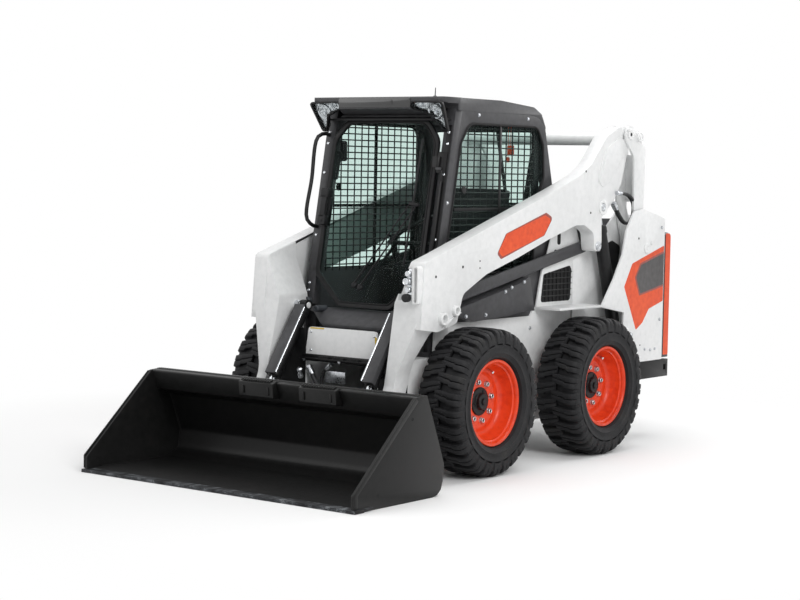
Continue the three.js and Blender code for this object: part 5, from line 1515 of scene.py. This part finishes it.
# ---------------------------------------------------------------- fasteners
def build_fasteners():
    bolts, screws, holes, arm_holes, cab_bolts = [], [], [], [], []
    for side in (1, -1):
        out = (side, 0, 0)
        cab_bolts += [(side * 418.2, y, z, out, 0.9)
                      for y, z in ((-296, 1842), (170, 1837), (347, 1437), (-567, 1384), (430, 1180),
                                   (430, 760), (-640, 900))]
        bolts += [(side * 490, y, z, out, 0.95)
                  for y, z in ((-120, 915), (-60, 935), (-480, 800), (60, 960), (-300, 800))]
        bolts += [(side * 427.2, y, z, out, 0.9) for y, z in ((-440, 640), (-250, 640), (60, 640), (220, 700))]
        bolts += [(side * UPRIGHT_FACE, y, z, out, 1.5) for y, z in ((1022, 626),)]
        bolts += [(side * UPRIGHT_FACE, y, z, out, 0.8)
                  for y, z in ((1194, 533), (1259, 525), (1312, 529))]
        bolts += [(side * UPRIGHT_FACE, y, z, out, 0.9) for y, z in ((1360, 1240), (1360, 700))]
        holes += [(side * UPRIGHT_FACE, y, z, out, s) for y, z, s in
                  ((1096, 1180, 0.8), (1140, 560, 0.6))]
        arm_holes += [(side * ARM_OUT, y, z, out, s) for y, z, s in
                      ((-839, 1020, 0.9), (-607, 1063, 0.9), (-456, 1089, 0.6), (-455, 1053, 0.6),
                       (560, 1560, 0.8), (620, 1330, 0.8))]
        cover = 9.5 if side > 0 else 0.2
        screws += [(*leaned(side * 398, along, cover), (0, -math.cos(CAB_LEAN), math.sin(CAB_LEAN)), 1.1)
                   for along in (900, 940, 1200, 1540, 1700, 1760)]
    screws += [(x, -884, z, (0, -1, 0), 0.9) for x in (-206, 206) for z in (604, 700)]
    bolts += [(x, -901, 556, (0, -1, 0), 0.9) for x in (-240, 0, 240)]
    bolts += [(x, 1470, z, (0, 1, 0), 0.9) for x in (-560, 560) for z in (500, 760, 1000, 1180)
              if (x, z) not in ((560, 1180), (-560, 1180))]
    gate = [b for b in bolts if b[1] > 1460]
    bolts = [b for b in bolts if b[1] <= 1460]
    face = [(x, backline(z) + 16.5, z, (0, 1, -0.43), 1.2) for x in (-500, -200, 200, 500) for z in (170, 430)]
    piece = drawn(hex_bolt)
    for name, places, finish, slot, body in (
            ("frame_bolts", bolts, "zinc", "bright_steel", "chassis"),
            ("tailgate_bolts", gate, "zinc", "bright_steel", "tailgate"),
            ("cab_bolts", cab_bolts, "chrome", "bright_steel", "chassis"),
            ("carrier_bolts", face, "zinc", "bright_steel", "tool")):
        set_down(scattered(piece, places, finish), name, finish, body)
    set_down(scattered(drawn(dome_screw), screws, "chrome"), "cover_screws", "chrome",
             "chassis")
    # painted shade: dark discs over the frame's and arms' holes stand for the holes' shaded inside
    painted_shade_disc = drawn(painted_shade_hole_disc)
    set_down(scattered(painted_shade_disc, holes, "gasket"), "frame_holes", "gasket", "chassis")
    set_down(scattered(painted_shade_disc, arm_holes, "gasket"), "arm_holes", "gasket", "lift_arms")


def backline(z):
    """The bucket's leaning back face, by height."""
    return -1165 - (z - 147) * 0.432


# ---------------------------------------------------------------- settings
class LoaderPaint(PropertyGroup):
    body: FloatVectorProperty(name="Body", description="Colour of the arms and frame", size=3,
                              subtype="COLOR", default=linear("#e4e5e5")[:3], min=0, max=1)
    cab: FloatVectorProperty(name="Cab", description="Colour of the cab and panels", size=3,
                             subtype="COLOR", default=linear("#444446")[:3], min=0, max=1)
    rims: FloatVectorProperty(name="Rims", description="Colour of the wheel rims", size=3,
                              subtype="COLOR", default=linear("#e04118")[:3], min=0, max=1)


class LoaderWheels(PropertyGroup):
    lugs: IntProperty(name="Lugs", description="Lugs on each side of a tyre's tread", default=26,
                      min=16, max=40)
    nuts: IntProperty(name="Wheel nuts", description="Nuts on each wheel", default=8, min=4, max=12)


class LoaderPlates(PropertyGroup):
    edge: FloatProperty(name="Edge", description="Radius of a plate's edges", default=2.5 * MM,
                        min=0.5 * MM, max=6 * MM, unit="LENGTH")


REPLACED = ("tyre", "rim", "work_light", "seat_cushion", "seat_backrest", "hydraulic_couplers")


class LOADER_OT_plates(Operator):
    """Rounds the frame's plates and gives them their enamel"""
    bl_idname = "loader.plates"
    bl_label = "Frame plates"

    def execute(self, context):
        slots = {"white_paint": "white", "grey_paint": "grey", "black_paint": "black",
                 "tyre_rubber": "rubber", "orange_paint": "orange", "bright_steel": "chrome",
                 "tinted_glass": "glass", "lamp_lens": "lens", "black_vinyl": "plastic",
                 "cast_iron": "iron"}
        parts = {p["node"]: p["material_slot"] for p in frame["record"]["subparts"]}
        edge = context.scene.loader_plates.edge / MM
        for body, nodes in frame["record"]["behaviour"]["bodies"].items():
            for node in nodes:
                if node.endswith(REPLACED):
                    continue
                finish = {"bucket": "bucket"}.get(node, slots[parts[node]])
                refined(node, finish, body, 0 if finish == "glass" else edge)
        return {"FINISHED"}


class LOADER_OT_wheels(Operator):
    """Turns the tyres, their lugs, the rims and their nuts"""
    bl_idname = "loader.wheels"
    bl_label = "Wheels"

    def execute(self, context):
        build_wheels()
        return {"FINISHED"}


class LOADER_OT_windows(Operator):
    """Fits the side and rear windows' seals, guards, bars and latches"""
    bl_idname = "loader.windows"
    bl_label = "Cab windows"

    def execute(self, context):
        build_cab_windows()
        return {"FINISHED"}


class LOADER_OT_lamps(Operator):
    """Builds the work lights from bezel, lens, reflector and housing"""
    bl_idname = "loader.lamps"
    bl_label = "Work lights"

    def execute(self, context):
        build_lamps()
        return {"FINISHED"}


class LOADER_OT_cab(Operator):
    """Fits the wiper, the door's latch, the pillar, the brow and the aerial"""
    bl_idname = "loader.cab"
    bl_label = "Cab fittings"

    def execute(self, context):
        build_cab_fittings()
        return {"FINISHED"}


class LOADER_OT_seat(Operator):
    """Sews the seat and fits the levers, pods, belt and lining"""
    bl_idname = "loader.seat"
    bl_label = "Seat and controls"

    def execute(self, context):
        build_seat()
        return {"FINISHED"}


class LOADER_OT_linkage(Operator):
    """Fits the arms' bosses, doublers, welds and pins"""
    bl_idname = "loader.linkage"
    bl_label = "Linkage"

    def execute(self, context):
        build_linkage()
        return {"FINISHED"}


class LOADER_OT_couplers(Operator):
    """Builds the coupler block and its guard hoop"""
    bl_idname = "loader.couplers"
    bl_label = "Couplers"

    def execute(self, context):
        build_couplers()
        return {"FINISHED"}


class LOADER_OT_cylinders(Operator):
    """Fits the cylinders' glands and guard bars"""
    bl_idname = "loader.cylinders"
    bl_label = "Cylinders"

    def execute(self, context):
        build_cylinders()
        return {"FINISHED"}


class LOADER_OT_films(Operator):
    """Lays the plain colour films on arms, posts and front plate"""
    bl_idname = "loader.films"
    bl_label = "Colour films"

    def execute(self, context):
        build_films()
        return {"FINISHED"}


class LOADER_OT_front(Operator):
    """Builds the notched bar, fittings and hoses under the cab"""
    bl_idname = "loader.front"
    bl_label = "Front of the frame"

    def execute(self, context):
        build_front()
        build_arm_hoses()
        return {"FINISHED"}


class LOADER_OT_bucket(Operator):
    """Builds the bucket's steps, flanges, welds and cutting edge"""
    bl_idname = "loader.bucket"
    bl_label = "Bucket"

    def execute(self, context):
        build_bucket()
        return {"FINISHED"}


class LOADER_OT_rear(Operator):
    """Builds the screens, tailgate, vents and engine castings"""
    bl_idname = "loader.rear"
    bl_label = "Rear end"

    def execute(self, context):
        build_rear()
        return {"FINISHED"}


class LOADER_OT_fasteners(Operator):
    """Scatters the bolts, the screws and the dark discs of painted shade over holes"""
    bl_idname = "loader.fasteners"
    bl_label = "Fasteners"

    def execute(self, context):
        build_fasteners()
        return {"FINISHED"}


class LOADER_OT_stage(Operator):
    """Lays the pale floor, hangs the soft lamps and sets the camera"""
    bl_idname = "loader.stage"
    bl_label = "Stage"

    def execute(self, context):
        build_stage()
        return {"FINISHED"}


CAMERA_AT = Vector((6.1304, -8.541 + AFT, 1.5436))
CAMERA_TURN = (37.24, 3.585, 1.067)   # round, down and over, in degrees
SENSOR = 36.0
IMAGE_WIDTH = 800             # in the renders' own picture elements
CAMERA_FOCUS = 1911.5 / IMAGE_WIDTH * SENSOR
CAMERA_SHIFT = (9.1 / IMAGE_WIDTH, -9.5 / IMAGE_WIDTH)


def seen_directly(tree):
    """One where the eye sees a surface itself, in a mirror or through glass."""
    path = add(tree, "ShaderNodeLightPath")
    seen = add(tree, "ShaderNodeMath", {0: path.outputs["Is Camera Ray"],
                                        1: path.outputs["Is Glossy Ray"]}, operation="MAXIMUM")
    return add(tree, "ShaderNodeMath", {0: seen, 1: path.outputs["Is Transmission Ray"]},
               operation="MAXIMUM")


def studio_floor():
    """Pale seamless paper: matt, with the machine's soft shadow near it. Away from the machine
    it shows as plain white, as an evenly lit sweep does."""
    material, tree, shader, place = new_material("seamless_studio_paper")
    shader.inputs["Base Color"].default_value = linear("#f0f0f0")
    shader.inputs["Roughness"].default_value = 0.9
    away = add(tree, "ShaderNodeVectorMath", {0: place}, operation="LENGTH").outputs["Value"]
    far = add(tree, "ShaderNodeMapRange", {"Value": away, "From Min": 1.9, "From Max": 3.6},
              interpolation_type="SMOOTHSTEP")
    share = add(tree, "ShaderNodeMath", {0: far, 1: seen_directly(tree)}, operation="MULTIPLY")
    white = add(tree, "ShaderNodeEmission", {"Color": (1, 1, 1, 1), "Strength": 1.0})
    both = add(tree, "ShaderNodeMixShader", {0: share, 1: shader, 2: white})
    output = next(n for n in tree.nodes if n.bl_idname == "ShaderNodeOutputMaterial")
    tree.links.new(both.outputs[0], output.inputs["Surface"])
    return material


def build_stage():
    """A pale sweep, a pale world and large soft lamps at a plain level."""
    scene = bpy.context.scene
    round_, down, over = (math.radians(a) for a in CAMERA_TURN)
    back = Vector((math.sin(round_) * math.cos(down), -math.cos(round_) * math.cos(down),
                   math.sin(down)))
    right = (-back).cross(Vector((0, 0, 1))).normalized()
    up = right.cross(-back)
    level_right = right * math.cos(over) + up * math.sin(over)
    level_up = up * math.cos(over) - right * math.sin(over)
    lens = bpy.data.cameras.new("camera")
    lens.lens, lens.sensor_width = CAMERA_FOCUS, SENSOR
    lens.shift_x, lens.shift_y = CAMERA_SHIFT
    lens.clip_end = 100
    camera = linked("camera", lens)
    turn = Matrix((level_right, level_up, back)).transposed().to_4x4()
    camera.matrix_world = Matrix.Translation(CAMERA_AT) @ turn
    scene.camera = camera

    scene.view_settings.view_transform = "Standard"
    mesh = bpy.data.meshes.new("floor")
    work = bmesh.new()
    bmesh.ops.create_grid(work, x_segments=2, y_segments=2, size=60)
    work.to_mesh(mesh)
    work.free()
    floor = linked("floor", mesh)
    floor.data.materials.append(studio_floor())

    world = bpy.data.worlds.new("studio")
    scene.world = world
    world.use_nodes = True
    tree = world.node_tree
    tree.nodes.clear()
    plain = add(tree, "ShaderNodeBackground", {"Color": (1, 1, 1, 1), "Strength": 0.48})
    shown = add(tree, "ShaderNodeBackground", {"Color": (1, 1, 1, 1), "Strength": 1.0})
    both = add(tree, "ShaderNodeMixShader", {0: seen_directly(tree), 1: plain, 2: shown})
    add(tree, "ShaderNodeOutputWorld", {"Surface": both})

    lamps = (("key", (7.0, -4.0, 6.0), 5.0, 390), ("fill", (-6.0, -5.0, 4.0), 5.0, 60),
             ("top", (0.0, 1.0, 7.5), 6.0, 250), ("back", (1.0, 7.5, 4.5), 5.0, 170))
    for name, at, size, power in lamps:
        light = bpy.data.lights.new(name, "AREA")
        light.shape, light.size, light.energy = "DISK", size, power
        lamp = linked(name, light)
        aim = Vector((0, 0, 0.8)) - Vector(at)
        lamp.matrix_world = Matrix.Translation(at) @ aim.to_track_quat("-Z", "Y").to_matrix().to_4x4()


class LOADER_PT_panel(Panel):
    bl_idname = "LOADER_PT_panel"
    bl_label = "Loader"
    bl_space_type = "VIEW_3D"
    bl_region_type = "UI"
    bl_category = "Loader"

    def draw(self, context):
        for group in GROUPS:
            box = self.layout.box()
            data = getattr(context.scene, GROUPS[group])
            for key in data.bl_rna.properties.keys():
                if key not in {"rna_type", "name"}:
                    box.prop(data, key)
        for operator in OPERATORS:
            self.layout.operator(operator.bl_idname)


GROUPS = {LoaderPaint: "loader_paint", LoaderWheels: "loader_wheels", LoaderPlates: "loader_plates"}
OPERATORS = (
    LOADER_OT_stage, LOADER_OT_front, LOADER_OT_plates, LOADER_OT_wheels, LOADER_OT_windows,
    LOADER_OT_lamps, LOADER_OT_cab, LOADER_OT_seat, LOADER_OT_linkage, LOADER_OT_couplers,
    LOADER_OT_cylinders, LOADER_OT_films, LOADER_OT_bucket, LOADER_OT_rear, LOADER_OT_fasteners)


def register():
    for item in (*GROUPS, *OPERATORS, LOADER_PT_panel):
        bpy.utils.register_class(item)
    for group, name in GROUPS.items():
        setattr(bpy.types.Scene, name, PointerProperty(type=group))


def unregister():
    for name in GROUPS.values():
        delattr(bpy.types.Scene, name)
    for item in reversed((*GROUPS, *OPERATORS, LOADER_PT_panel)):
        bpy.utils.unregister_class(item)


def main():
    register()
    mix_finishes()
    for operator in OPERATORS:
        group, name = operator.bl_idname.split(".")
        getattr(getattr(bpy.ops, group), name)()


if __name__ == "__main__":
    main()
